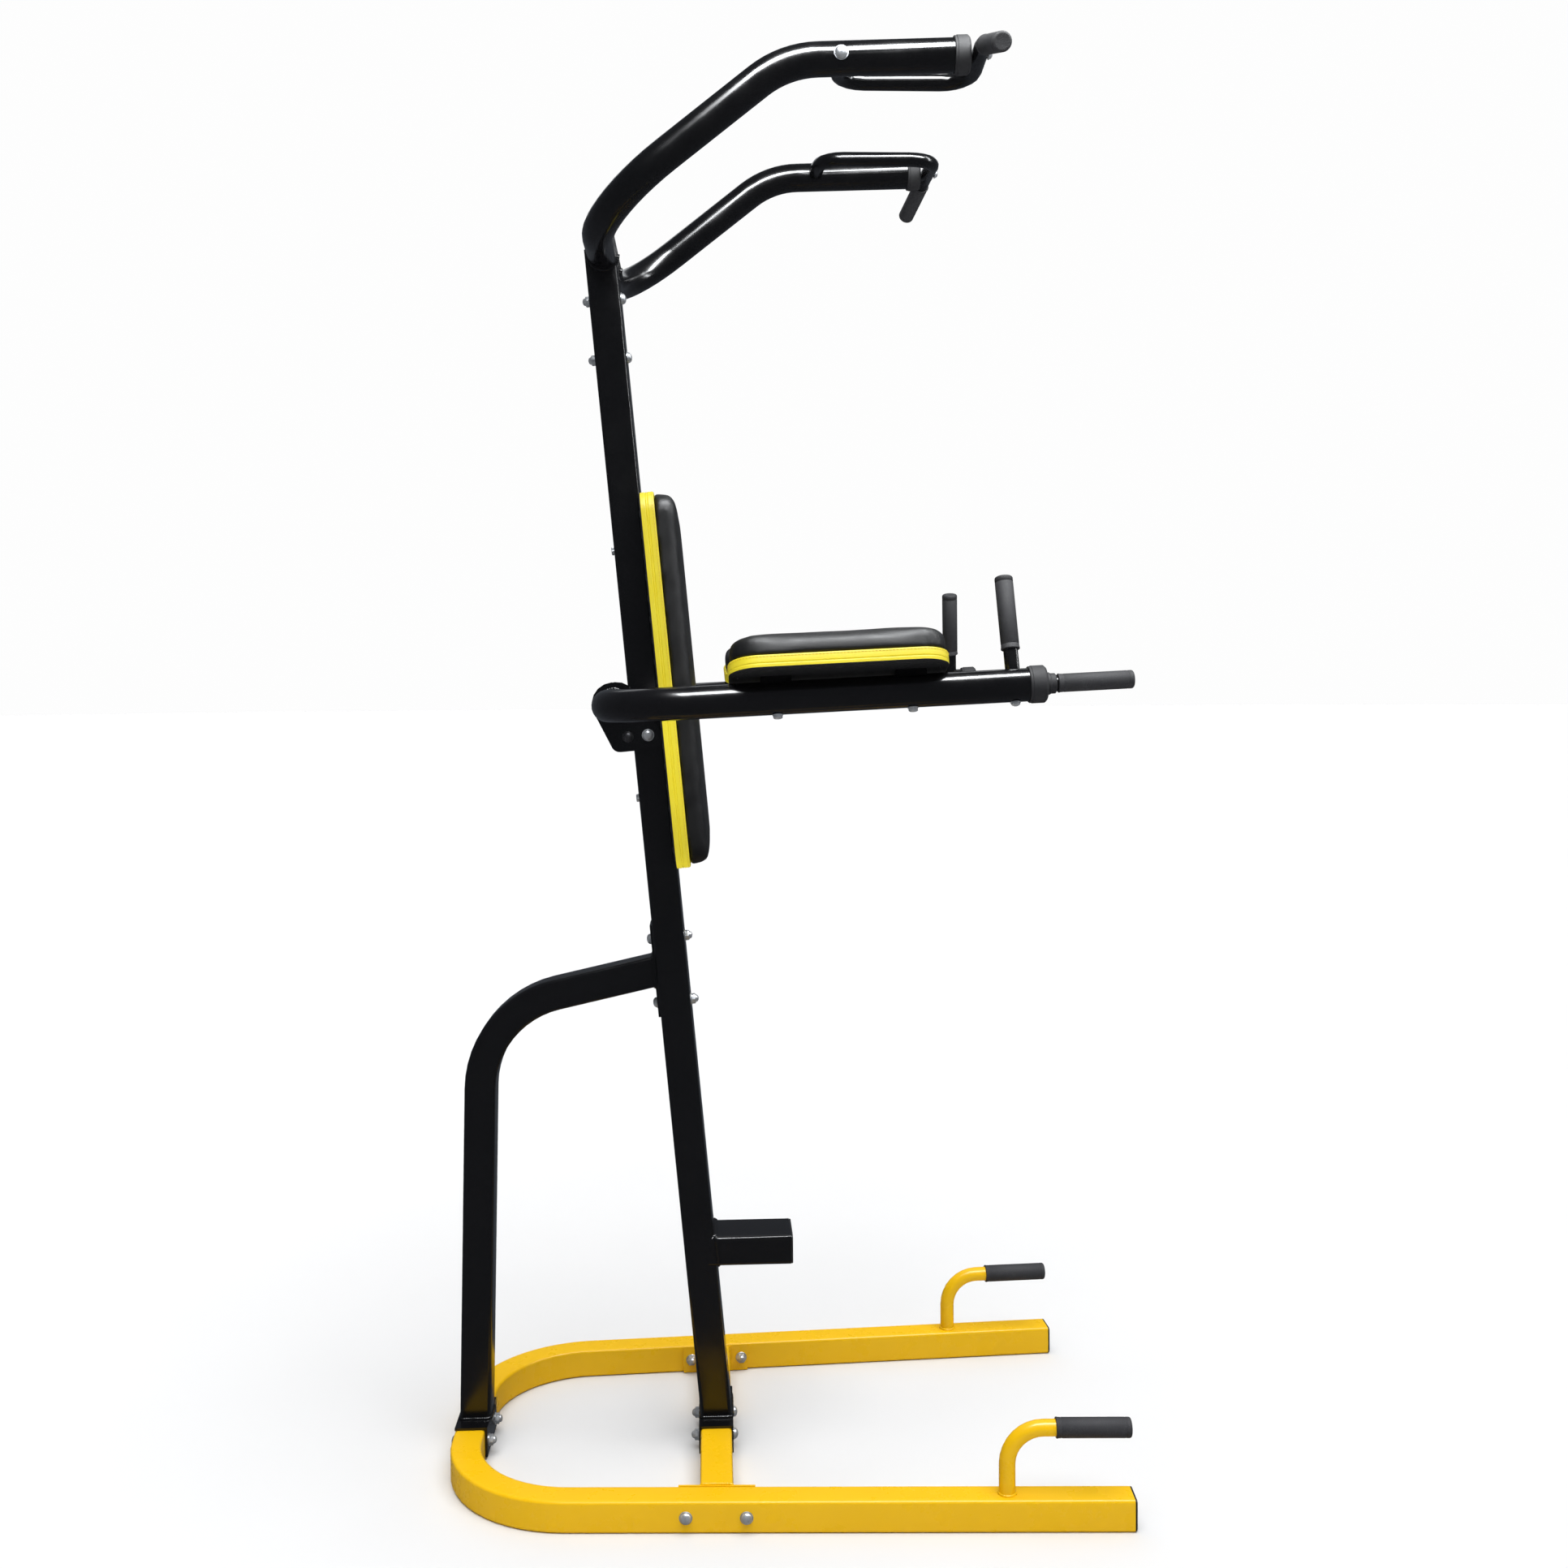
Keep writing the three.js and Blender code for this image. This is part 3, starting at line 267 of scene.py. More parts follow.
def smooth_plastic(name, base, light):
    """Moulded plastic with a satin skin."""
    n = Nodes(name)
    n.colour(n.mix(n.spread(n.noise(30.0, 4.0), 0.35, 0.7), base, light))
    n.roughness(n.spread(n.noise(180.0, 3.0), 0.3, 0.7, 0.36, 0.52))
    n.bump(n.noise(1500.0, 2.0), 0.00004)
    n.set(Specular_IOR_Level=0.4)
    return n.material


def zinc_plate(name, base, stain, rough, metallic):
    """Bright zinc plate with spangle, handling marks and dull patches."""
    n = Nodes(name)
    spangle = n.cells(260.0)
    patches = n.spread(n.noise(90.0, 5.0, 0.6), 0.42, 0.72)
    n.colour(n.mix(patches, base, stain))
    shine = n.spread(spangle, 0.0, 0.6, rough, rough * 1.5)
    n.roughness(n.math("ADD", shine, n.math("MULTIPLY", patches, 0.12)))
    n.bump(n.noise(900.0, 3.0), 0.00004)
    n.set(Metallic=metallic)
    return n.material


def vinyl(name, base, light, rough):
    """Upholstery vinyl: fine leather grain with painted shade in its creases, pores and soft stretch marks.
    """
    n = Nodes(name)
    wobble = n.add("ShaderNodeVectorMath", operation="MULTIPLY_ADD")
    swirl = n.add("ShaderNodeTexNoise")
    swirl.inputs["Scale"].default_value = 320.0
    n.link(n.place, swirl.inputs["Vector"])
    n.link(swirl.outputs["Color"], wobble.inputs[0])
    wobble.inputs[1].default_value = (0.0012, 0.0012, 0.0012)
    n.link(n.place, wobble.inputs[2])
    creases = n.spread(n.cells(780.0, "DISTANCE_TO_EDGE", wobble.outputs[0]), 0.0, 0.22)
    pores = n.spread(n.cells(2100.0), 0.0, 0.2)
    tone = n.spread(n.noise(14.0, 4.0), 0.32, 0.7)
    # The grain's creases keep the darker base colour while the cells between them turn lighter: painted
    # shade in the creases. The tone noise varies at random.
    n.colour(n.mix(n.math("MULTIPLY", tone, creases), base, light))
    n.roughness(n.math("ADD", n.spread(n.noise(40.0, 4.0), 0.3, 0.7, rough * 0.85, rough * 1.2),
                       n.spread(creases, 0.0, 1.0, 0.12, 0.0)))
    relief = n.math("ADD", n.math("MULTIPLY", creases, 0.8), n.math("MULTIPLY", pores, 0.2))
    n.bump(relief, 0.00009)
    n.set(Specular_IOR_Level=0.35)
    return n.material


def thread(name, base, light):
    """Sewing thread with twisted plies."""
    n = Nodes(name)
    plies = n.noise(1800.0, 1.0)
    n.colour(n.mix(n.spread(plies, 0.4, 0.6), base, light))
    n.bump(plies, 0.0001)
    n.set(Roughness=0.6)
    return n.material


def backing_cloth(name):
    """Black non-woven cloth on the back of a pad board."""
    n = Nodes(name)
    fibres = n.noise(700.0, 6.0, 0.75)
    n.colour(n.mix(n.spread(fibres, 0.4, 0.65), (0.008, 0.008, 0.009), (0.03, 0.03, 0.032)))
    n.bump(fibres, 0.0002)
    n.set(Roughness=0.9, Specular_IOR_Level=0.2)
    return n.material


YELLOW_PAINT = powder_coat("yellow_powder_coat", (0.85, 0.49, 0.004), (0.88, 0.52, 0.006),
                           rough=0.28, specular=0.28, peel_depth=0.04 * MM)
BLACK_PAINT = powder_coat("black_powder_coat", (0.0032, 0.0032, 0.0037), (0.0055, 0.0055, 0.0065),
                          rough=0.19, specular=0.5, peel_depth=0.012 * MM)
GRIP_RUBBER = moulded_rubber("grip_rubber", (0.03, 0.03, 0.034), (0.065, 0.065, 0.07),
                             cell_scale=760.0, depth=0.22 * MM)
CAP_RUBBER = moulded_rubber("cap_rubber", (0.022, 0.022, 0.025), (0.05, 0.05, 0.054),
                            cell_scale=1500.0, depth=0.08 * MM)
PLUG_PLASTIC = smooth_plastic("plug_plastic", (0.01, 0.01, 0.011), (0.02, 0.02, 0.022))
ZINC = zinc_plate("zinc_plate", (0.62, 0.64, 0.66), (0.36, 0.37, 0.39), rough=0.24, metallic=0.65)
DARK_ZINC = zinc_plate("dark_zinc", (0.05, 0.05, 0.055), (0.025, 0.025, 0.028), rough=0.3, metallic=0.5)
BLACK_VINYL = vinyl("black_vinyl", (0.005, 0.005, 0.0055), (0.010, 0.010, 0.011), rough=0.40)
YELLOW_VINYL = vinyl("yellow_vinyl", (0.95, 0.78, 0.02), (0.99, 0.86, 0.04), rough=0.42)
YELLOW_THREAD = thread("yellow_thread", (0.75, 0.52, 0.01), (0.95, 0.75, 0.04))
BACKING = backing_cloth("pad_backing_cloth")
SLOT_MATERIAL = {
    "yellow_paint": YELLOW_PAINT,
    "black_paint": BLACK_PAINT,
    "zinc_bolt": ZINC,
    "grip_rubber": GRIP_RUBBER,
    "grey_cap": CAP_RUBBER,
    "black_plastic": PLUG_PLASTIC,
    "pad_board": YELLOW_VINYL,
    "pad_cushion": BLACK_VINYL,
}


# ---- CAD nodes that stay ----
JOIN_DISTANCE = 0.01 * MM  # points of a CAD mesh closer than this are one corner
SHARP_ANGLE = 52  # degrees between faces that meet in a real edge


def shading_group():
    """Geometry nodes that join the triangles of a CAD mesh and keep only its real edges sharp."""
    group = bpy.data.node_groups.new("weld_and_shade", "GeometryNodeTree")
    group.interface.new_socket("Geometry", in_out="INPUT", socket_type="NodeSocketGeometry")
    group.interface.new_socket("Geometry", in_out="OUTPUT", socket_type="NodeSocketGeometry")
    nodes, links = group.nodes, group.links
    start, end = nodes.new("NodeGroupInput"), nodes.new("NodeGroupOutput")
    merge = nodes.new("GeometryNodeMergeByDistance")
    merge.inputs["Distance"].default_value = JOIN_DISTANCE
    smooth = nodes.new("GeometryNodeSetShadeSmooth")
    smooth.domain = "FACE"
    angle = nodes.new("GeometryNodeInputMeshEdgeAngle")
    compare = nodes.new("FunctionNodeCompare")
    compare.data_type = "FLOAT"
    compare.operation = "GREATER_THAN"
    compare.inputs["B"].default_value = math.radians(SHARP_ANGLE)
    sharpen = nodes.new("GeometryNodeSetShadeSmooth")
    sharpen.domain = "EDGE"
    sharpen.inputs["Shade Smooth"].default_value = False
    for first, second in ((start, merge), (merge, smooth), (smooth, sharpen), (sharpen, end)):
        links.new(first.outputs[0], second.inputs[0])
    links.new(angle.outputs["Unsigned Angle"], compare.inputs["A"])
    links.new(compare.outputs["Result"], sharpen.inputs["Selection"])
    return group


SHADING = shading_group()


def dress(node, material):
    """Gives a kept CAD node its material and smooth shading between its real edges."""
    obj = NODES[node]
    mesh = obj.data
    for name in ("custom_normal", "sharp_face", "sharp_edge"):
        attribute = mesh.attributes.get(name)
        if attribute:
            mesh.attributes.remove(attribute)
    mesh.materials.clear()
    mesh.materials.append(material)
    modifier = obj.modifiers.new("weld_and_shade", "NODES")
    modifier.node_group = SHADING
    weighted = obj.modifiers.new("even_normals", "WEIGHTED_NORMAL")
    weighted.keep_sharp = True


# ---- mesh helpers ----
def new_piece(name, bm, material, smooth_angle=40, replaces=()):
    """Turns a bmesh in the frame's own coordinates into a finished piece on the root body."""
    mesh = bpy.data.meshes.new(name)
    bmesh.ops.recalc_face_normals(bm, faces=bm.faces)
    bm.to_mesh(mesh)
    bm.free()
    mesh.materials.append(material)
    mesh.shade_smooth()
    mesh.set_sharp_from_angle(angle=math.radians(smooth_angle))
    obj = bpy.data.objects.new(name, mesh)
    bpy.context.scene.collection.objects.link(obj)
    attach(obj, "root")
    if replaces:
        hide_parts(*replaces)
    return obj


def turned_ring(bm, matrix, radii, height):
    """Ring of points about local Z, with a radius for each."""
    ring = []
    for i, radius in enumerate(radii):
        angle = 2 * math.pi * i / len(radii)
        local = Vector((radius * math.cos(angle), radius * math.sin(angle), height))
        ring.append(bm.verts.new(matrix @ local))
    return ring


def round_ring(bm, matrix, radius, height, sides=48):
    """Round ring, or one point where the radius is nought."""
    return turned_ring(bm, matrix, [radius] * (1 if radius < 1e-7 else sides), height)


def lathe(bm, profile, sides, matrix):
    """Turns a profile of (radius, height) pairs about local Z. Points on the axis close the body."""
    skin(bm, [round_ring(bm, matrix, radius, height, sides) for radius, height in profile])


def skin(bm, rings, closed_path=False):
    """Joins rings of points by faces. A ring of one point closes an end."""
    pairs = list(zip(rings, rings[1:]))
    if closed_path:
        pairs.append((rings[-1], rings[0]))
    for low, high in pairs:
        count = max(len(low), len(high))
        for i in range(count):
            j = (i + 1) % count
            corners = [low[i % len(low)], low[j % len(low)], high[j % len(high)], high[i % len(high)]]
            unique = list(dict.fromkeys(corners))
            if len(unique) > 2:
                bm.faces.new(unique)


def close_ends(bm, rings):
    """Faces on the first and the last ring of a tube."""
    bm.faces.new(rings[0])
    bm.faces.new(rings[-1])


def sweep_bead(bm, path, radius, closed, pitch=4.2 * MM, sides=8):
    """Weld bead along a path: overlapping ripples of molten metal, all of them one strip."""
    points = [Vector(p) for p in path]
    if closed:
        points.append(points[0])
    lengths = [0.0]
    for a, b in zip(points, points[1:]):
        lengths.append(lengths[-1] + (b - a).length)
    total = lengths[-1]
    ripples = max(4, round(total / pitch))
    steps = ripples * 4
    rings = []
    for k in range(steps if closed else steps + 1):
        s = total * k / steps
        i = min(bisect_right(lengths, s + 1e-12), len(lengths) - 1) - 1
        run = points[i + 1] - points[i]
        here = points[i] + run * ((s - lengths[i]) / run.length)
        phase = (k % 4) / 4
        swell = 0.90 + 0.13 * math.sqrt(1 - phase)
        swell *= 1 + 0.07 * math.sin(k * 1.7) + 0.05 * math.sin(k * 0.43 + 1)
        rings.append(round_ring(bm, frame_at(here, run), radius * swell, 0, sides))
    skin(bm, rings, closed_path=closed)
    if not closed:
        close_ends(bm, rings)


def rounded_loop(half_u, half_v, corner, steps):
    """Points of a rounded rectangle in a plane, running round once."""
    loop = []
    for su, sv, start in ((1, 1, 0), (-1, 1, 90), (-1, -1, 180), (1, -1, 270)):
        for i in range(steps + 1):
            angle = math.radians(start + 90 * i / steps)
            loop.append((su * (half_u - corner) + corner * math.cos(angle),
                         sv * (half_v - corner) + corner * math.sin(angle)))
    return loop


# ---- welds ----
def sections(node, point, normal):
    """Closed outlines in which a plane cuts a CAD node, the longest first."""
    bm = bmesh.new()
    bm.from_mesh(NODES[node].data)
    bmesh.ops.remove_doubles(bm, verts=bm.verts, dist=JOIN_DISTANCE)
    cut = bmesh.ops.bisect_plane(bm, geom=bm.verts[:] + bm.edges[:] + bm.faces[:], dist=1e-7,
                                 plane_co=point, plane_no=normal)["geom_cut"]
    neighbours = {}
    for edge in (e for e in cut if isinstance(e, bmesh.types.BMEdge)):
        a, b = edge.verts
        neighbours.setdefault(a, []).append(b)
        neighbours.setdefault(b, []).append(a)
    loops = []
    while neighbours:
        start = min(neighbours, key=lambda v: v.index)
        chain, here, before = [], start, None
        while here in neighbours:
            chain.append(here.co.copy())
            onward = [v for v in neighbours.pop(here) if v is not before and v in neighbours]
            before = here
            if not onward:
                break
            here = onward[0]
        if len(chain) > 5:
            loops.append(chain)
    bm.free()
    return sorted(loops, key=lambda loop: -loop_length(loop))


def loop_length(loop):
    return sum((a - b).length for a, b in zip(loop, loop[1:] + loop[:1]))


def outline_near(node, point, normal, reach):
    """Longest cut outline of a node whose middle lies within reach of the point."""
    for loop in sections(node, point, normal):
        middle = sum(loop, Vector()) / len(loop)
        if (middle - point).length < reach:
            return loop
    raise RuntimeError(f"no outline of {node} near {point}")


def weld(name, slot, paths, radius, closed=True):
    """Rippled beads of one painted joint, all of the same size."""
    bm = bmesh.new()
    for path in paths:
        sweep_bead(bm, path, radius, closed)
    new_piece(name, bm, SLOT_MATERIAL[slot], 70)


# ---- bolts ----
# Sizes of a bolt's parts follow the radius of its shank.
HEAD_RIM = 1.75
WASHER_RIM = 2.05
WASHER_BORE = 1.02
WASHER_TOP = 1.2 * MM
ACROSS_FLATS = 3.2
LIFT = 0.05 * MM  # a head or nut stands this far off its washer


def bolt_frame(node):
    """Where a CAD bolt sits: the head's underside, the direction to its nut, its size and its grip."""
    centre, axis, points = turned_axis(node)
    height, radius = along_axis(centre, axis, points)
    rim = radius.max()
    head = height[radius > rim * 0.995].mean()
    if head > 0:
        axis, height, head = -axis, -height, -head
    size = rim / HEAD_RIM
    nut_rim = height[(radius > rim * 0.9) & (height > head + size)]
    grip = (nut_rim.min() if len(nut_rim) else height.max()) - head
    return Vector(centre + axis * head), Vector(axis), size, grip, len(nut_rim) > 0


def hexagon_ring(bm, matrix, across, height, sides=48, roundness=0.0):
    """Ring of a hexagonal prism with as many points as a round ring, so that the two can be joined."""
    radii = []
    for i in range(sides):
        sector = (2 * math.pi * i / sides + math.pi / 6) % (math.pi / 3) - math.pi / 6
        flat = across / 2 / math.cos(sector)
        radii.append(flat * (1 - roundness) + across / 2 * roundness)
    return turned_ring(bm, matrix, radii, height)


def washer(bm, matrix, size, base):
    outer, bore = size * WASHER_RIM, size * WASHER_BORE
    low, high = base - 0.25 * MM, base + WASHER_TOP
    edge = 0.3 * MM
    profile = [(bore, low), (outer - edge, low), (outer, low + edge), (outer, high - edge),
               (outer - edge, high), (bore, high)]
    skin(bm, [round_ring(bm, matrix, radius, height, 32) for radius, height in profile], closed_path=True)


def domed_head(bm, matrix, size, base):
    """Carriage bolt head: a low dome with a rolled rim."""
    rim = size * HEAD_RIM
    shoulder = base + 1.0 * MM
    dome = size * 1.35 - 1.0 * MM
    profile = [(size * 0.9, base), (rim - 0.5 * MM, base), (rim, base + 0.5 * MM), (rim, shoulder)]
    for i in range(1, 8):
        angle = math.radians(90 * i / 8)
        profile.append((rim * math.cos(angle), shoulder + dome * math.sin(angle)))
    rings = [round_ring(bm, matrix, radius, height) for radius, height in [*profile, (0, shoulder + dome)]]
    skin(bm, rings)
    bm.faces.new(rings[0])


def hex_head(bm, matrix, size, base):
    """Hexagon head with a chamfered top and a shallow stamped dish."""
    across = size * ACROSS_FLATS
    height = size * 1.15
    rings = [
        hexagon_ring(bm, matrix, across, base),
        hexagon_ring(bm, matrix, across, base + height * 0.8),
        hexagon_ring(bm, matrix, across * 0.95, base + height * 0.93, roundness=0.8),
        round_ring(bm, matrix, across * 0.44, base + height),
        round_ring(bm, matrix, across * 0.30, base + height),
        round_ring(bm, matrix, across * 0.26, base + height - 0.3 * MM),
        round_ring(bm, matrix, 0, base + height - 0.4 * MM),
    ]
    skin(bm, rings)
    bm.faces.new(rings[0])


def cap_nut(bm, matrix, size, base):
    """Dome nut: hexagon below, round dome above."""
    across = size * ACROSS_FLATS
    rings = [
        hexagon_ring(bm, matrix, across, base, roundness=0.35),
        hexagon_ring(bm, matrix, across, base + 0.6 * MM),
        hexagon_ring(bm, matrix, across, base + size * 1.05),
        hexagon_ring(bm, matrix, across * 0.96, base + size * 1.25, roundness=0.85),
        round_ring(bm, matrix, size * 1.32, base + size * 1.3),
    ]
    dome_radius = size * 1.25
    for i in range(0, 7):
        angle = math.radians(90 * i / 7)
        height = base + size * 1.4 + size * 0.9 * math.sin(angle)
        rings.append(round_ring(bm, matrix, dome_radius * math.cos(angle), height))
    rings.append(round_ring(bm, matrix, 0, base + size * 2.3))
    skin(bm, rings)
    bm.faces.new(rings[0])


def threaded_shank(bm, matrix, size, start, end, thread_from):
    """Shank with turned threads on its far part."""
    pitch = 1.5 * MM
    profile = [(0, start), (size, start), (size, thread_from)]
    z = thread_from
    while z + pitch < end:
        profile.append((size * 0.86, z + pitch * 0.5))
        profile.append((size, z + pitch))
        z += pitch
    profile.append((size * 0.85, end))
    profile.append((0, end))
    lathe(bm, profile, 20, matrix)


def build_bolt(name, head, direction, size, grip, has_nut, style, material=ZINC, replaces=()):
    """Bolt with washers and nut, the underside of its head at a point and its shank along a direction."""
    matrix = frame_at(head, direction)
    flipped = matrix @ Matrix.Rotation(math.pi, 4, "X")
    bm = bmesh.new()
    washer(bm, flipped, size, 0.0)
    head_shape = hex_head if style == "hex" else domed_head
    head_shape(bm, flipped, size, WASHER_TOP + LIFT)
    end = grip + (size if has_nut else 0)
    threaded_shank(bm, matrix, size * 0.97, -WASHER_TOP / 2, end, thread_from=grip * 0.6)
    if has_nut:
        washer(bm, matrix, size, grip)
        cap_nut(bm, matrix, size, grip + WASHER_TOP + LIFT)
    new_piece(name, bm, material, replaces=replaces)


# ---- grips, caps and plugs ----
def sleeve_frame(node):
    """Tip, direction out of the closed tip, outer radius, bore and length of a CAD sleeve or cap."""
    centre, axis, points = turned_axis(node)
    height, radius = along_axis(centre, axis, points)
    outer = radius.max()
    axis_points = height[radius < outer * 0.02]
    if len(axis_points) and axis_points.max() < (height.max() + height.min()) / 2:
        axis, height = -axis, -height
    tip = height.max()
    length = height.max() - height.min()
    bore = radius[height < height.min() + 0.5 * MM].min()
    return Vector(centre + axis * tip), Vector(axis), outer, bore, length


def grip_piece(node):
    """Rubber grip: domed tip with a rolled rim, ring grooves near both ends and a lip at the mouth."""
    tip, direction, outer, bore, length = sleeve_frame(node)
    rim = 3.6 * MM
    lip = 0.5 * MM
    groove = 0.55 * MM
    profile = [(0, -0.4 * MM), (outer * 0.55, -0.35 * MM), (outer - rim - 0.5 * MM, 0)]
    for angle in (math.radians(90 - 15 * i) for i in range(7)):
        profile.append((outer - rim + rim * math.cos(angle), rim * math.sin(angle) - rim))
    for offset in (8.0 * MM, length - 9.0 * MM):
        profile += [(outer, -offset), (outer - groove, -offset - 0.6 * MM),
                    (outer - groove, -offset - 1.2 * MM), (outer, -offset - 1.8 * MM)]
    profile += [(outer, 3.5 * MM - length), (outer + lip, 2.8 * MM - length),
                (outer + lip, 0.9 * MM - length), (outer - 0.6 * MM, -length), (bore, -length),
                (bore, -4 * MM), (0, -4 * MM)]
    bm = bmesh.new()
    lathe(bm, profile, 48, frame_at(tip, direction))
    new_piece(f"{node}_detail", bm, GRIP_RUBBER, 50, [node])


BOSS_RADIUS = 15.5 * MM
BOSS_LENGTH = 15 * MM
BOSS_CHAMFER = 1.5 * MM
CAP_WALL = 3.2 * MM


def cap_piece(node, direction=None):
    """Collar on a tube's end, with a boss round its hole if it has one."""
    tip, axis, outer, bore, length = sleeve_frame(node)
    points = points_of(node)
    if direction is not None:
        low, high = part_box(node)
        middle = (low + high) / 2
        axis = direction
        height, radius = along_axis(np.array(middle), np.array(axis), points)
        length = height.max() - height.min()
        tip = middle + axis * height.max()
        outer = radius.max()
        bore = BAR_RADIUS + 0.4 * MM
    height, radius = along_axis(np.array(tip), np.array(axis), points)
    hole = radius[height > -0.5 * MM].min()
    if hole < 5 * MM:
        hole = 0.0
    profile = [(0, 0)]
    if hole:
        rim = BOSS_RADIUS + BOSS_CHAMFER
        profile = [(hole, BOSS_LENGTH), (BOSS_RADIUS - BOSS_CHAMFER, BOSS_LENGTH),
                   (BOSS_RADIUS, BOSS_LENGTH - BOSS_CHAMFER), (BOSS_RADIUS, 7 * MM), (rim, 5 * MM), (rim, 0)]
    lip = outer - 0.8 * MM
    profile += [(outer - CAP_WALL - 1.2 * MM, 0), (outer - CAP_WALL, -0.4 * MM),
                (outer - 0.4 * MM, -CAP_WALL), (outer, -CAP_WALL - 0.8 * MM),
                (outer, 4.4 * MM - length), (lip, 3.8 * MM - length),
                (lip, 1.0 * MM - length), (lip - 0.8 * MM, -length), (bore, -length),
                (bore, -CAP_WALL), (hole, -CAP_WALL)]
    bm = bmesh.new()
    rings = [round_ring(bm, frame_at(tip, axis), radius, height, 56) for radius, height in profile]
    skin(bm, rings, closed_path=hole > 0)
    new_piece(f"{node}_detail", bm, CAP_RUBBER, 35, [node])


def plug_piece(node, direction, corner, wall):
    """Tube plug: rounded flange with a raised border, a sunk panel and the insert behind it."""
    forward = Vector(direction).normalized()
    side = UP.cross(forward).normalized()
    points = points_of(node)
    front = (points @ np.array(forward)).max()
    across = points @ np.array(side)
    up = points[:, 2]
    half_u, half_v = np.ptp(across) / 2, np.ptp(up) / 2
    centre = side * ((across.max() + across.min()) / 2) + UP * ((up.max() + up.min()) / 2)
    insert = wall + 0.6 * MM
    steps = [(insert + 0.6 * MM, 19 * MM), (insert, 16 * MM), (insert, 3 * MM), (0, 3 * MM), (0, 1.3 * MM),
             (0.4 * MM, 0.4 * MM), (1.3 * MM, 0), (4.2 * MM, 0), (5 * MM, 0.9 * MM),
             (half_v * 0.72, 0.7 * MM)]
    bm = bmesh.new()
    rings = []
    for inset, back in steps:
        loop = rounded_loop(half_u - inset, half_v - inset, max(corner - inset, 1.0 * MM), 5)
        middle = centre + forward * (front - back)
        rings.append([bm.verts.new(middle + side * a + UP * b) for a, b in loop])
    skin(bm, rings)
    close_ends(bm, rings)
    new_piece(f"{node}_detail", bm, PLUG_PLASTIC, 35, [node])


# ---- pads ----
class Slab:
    """Frame of a pad: its middle, the directions along, across and out of it, and its half sizes."""

    def __init__(self, node, outward):
        _, _, directions, points = principal(node)
        self.along, self.across, self.out = (Vector(d) for d in directions)
        if self.out.dot(Vector(outward)) < 0:
            self.out.negate()
        if self.along.x < 0 or (abs(self.along.x) < 0.3 and self.along.z < 0):
            self.along.negate()
        self.across = self.out.cross(self.along)
        spans = []
        for direction in (self.along, self.across, self.out):
            reach = points @ np.array(direction)
            spans.append((reach.min(), reach.max()))
        self.half = [(high - low) / 2 for low, high in spans]
        middle = [(high + low) / 2 for low, high in spans]
        self.base = self.along * middle[0] + self.across * middle[1] + self.out * spans[2][0]
        self.thickness = spans[2][1] - spans[2][0]

    def point(self, a, b, c):
        return self.base + self.along * a + self.across * b + self.out * c


def outline(half_a, half_b, corner, steps_per_corner=14, straight=24):
    """Even points round a rounded rectangle, with the outward direction at each."""
    points = []
    for index, (sa, sb) in enumerate(((1, 1), (-1, 1), (-1, -1), (1, -1))):
        centre = (sa * (half_a - corner), sb * (half_b - corner))
        for i in range(steps_per_corner + 1):
            angle = math.radians(90 * index + 90 * i / steps_per_corner)
            normal = (math.cos(angle), math.sin(angle))
            points.append(((centre[0] + corner * normal[0], centre[1] + corner * normal[1]), normal))
        run = (half_b if index % 2 else half_a) - corner
        count = max(2, round(straight * run / max(half_a, half_b)) * 2)
        begin, normal = points[-1]
        for i in range(1, count):
            slide = 2 * run * i / count
            points.append(((begin[0] - normal[1] * slide, begin[1] + normal[0] * slide), normal))
    return points


def inset_outline(loop, inset):
    return [((p[0] - n[0] * inset, p[1] - n[1] * inset), n) for p, n in loop]


SHELL_SHRINK = 2.2 * MM  # the foam swells by about as much
SHELL_CORNER = 3 * MM  # a cushion's corners are this much tighter than its board's
SEAM_HEIGHT = 6 * MM
SEAM_PULL = 1.6 * MM
SHIFT_ROUNDS = 14  # evens out the small wrinkles that the simulation leaves
SURFACE_ROUNDS = 5  # takes out the steps that the remesh leaves
CLOTH_FRAMES = 20
CLOTH = {
    "use_pressure": True,
    "uniform_pressure_force": 4,
    "quality": 5,
    "tension_stiffness": 18,
    "compression_stiffness": 18,
    "shear_stiffness": 8,
    "bending_stiffness": 1.2,
}


def cushion_shell(slab, corner, edge, crown):
    """Closed starting shape of a cushion, a little smaller than the finished one."""
    half_a, half_b = slab.half[0] - SHELL_SHRINK, slab.half[1] - SHELL_SHRINK
    loop = outline(half_a, half_b, corner)
    top = slab.thickness - SHELL_SHRINK
    levels = [(0.0, 0.0), (0.0, top * 0.25), (0.0, top - edge)]
    for i in range(1, 7):
        angle = math.radians(90 * i / 6)
        levels.append((edge * (1 - math.cos(angle)), top - edge + edge * math.sin(angle)))
    bm = bmesh.new()
    rings = []
    for inset, height in levels:
        rings.append([bm.verts.new(slab.point(*p, height)) for p, _ in inset_outline(loop, inset)])
    count = 9
    reach = half_b - edge
    for i in range(1, count):
        inset = edge + reach * 0.98 * i / count
        height = top + crown * math.sin(math.radians(90 * i / count))
        scale_a, scale_b = 1 - inset / half_a, 1 - inset / half_b
        rings.append([bm.verts.new(slab.point(p[0] * scale_a, p[1] * scale_b, height)) for p, _ in loop])
    skin(bm, rings)
    close_ends(bm, rings)
    return bm


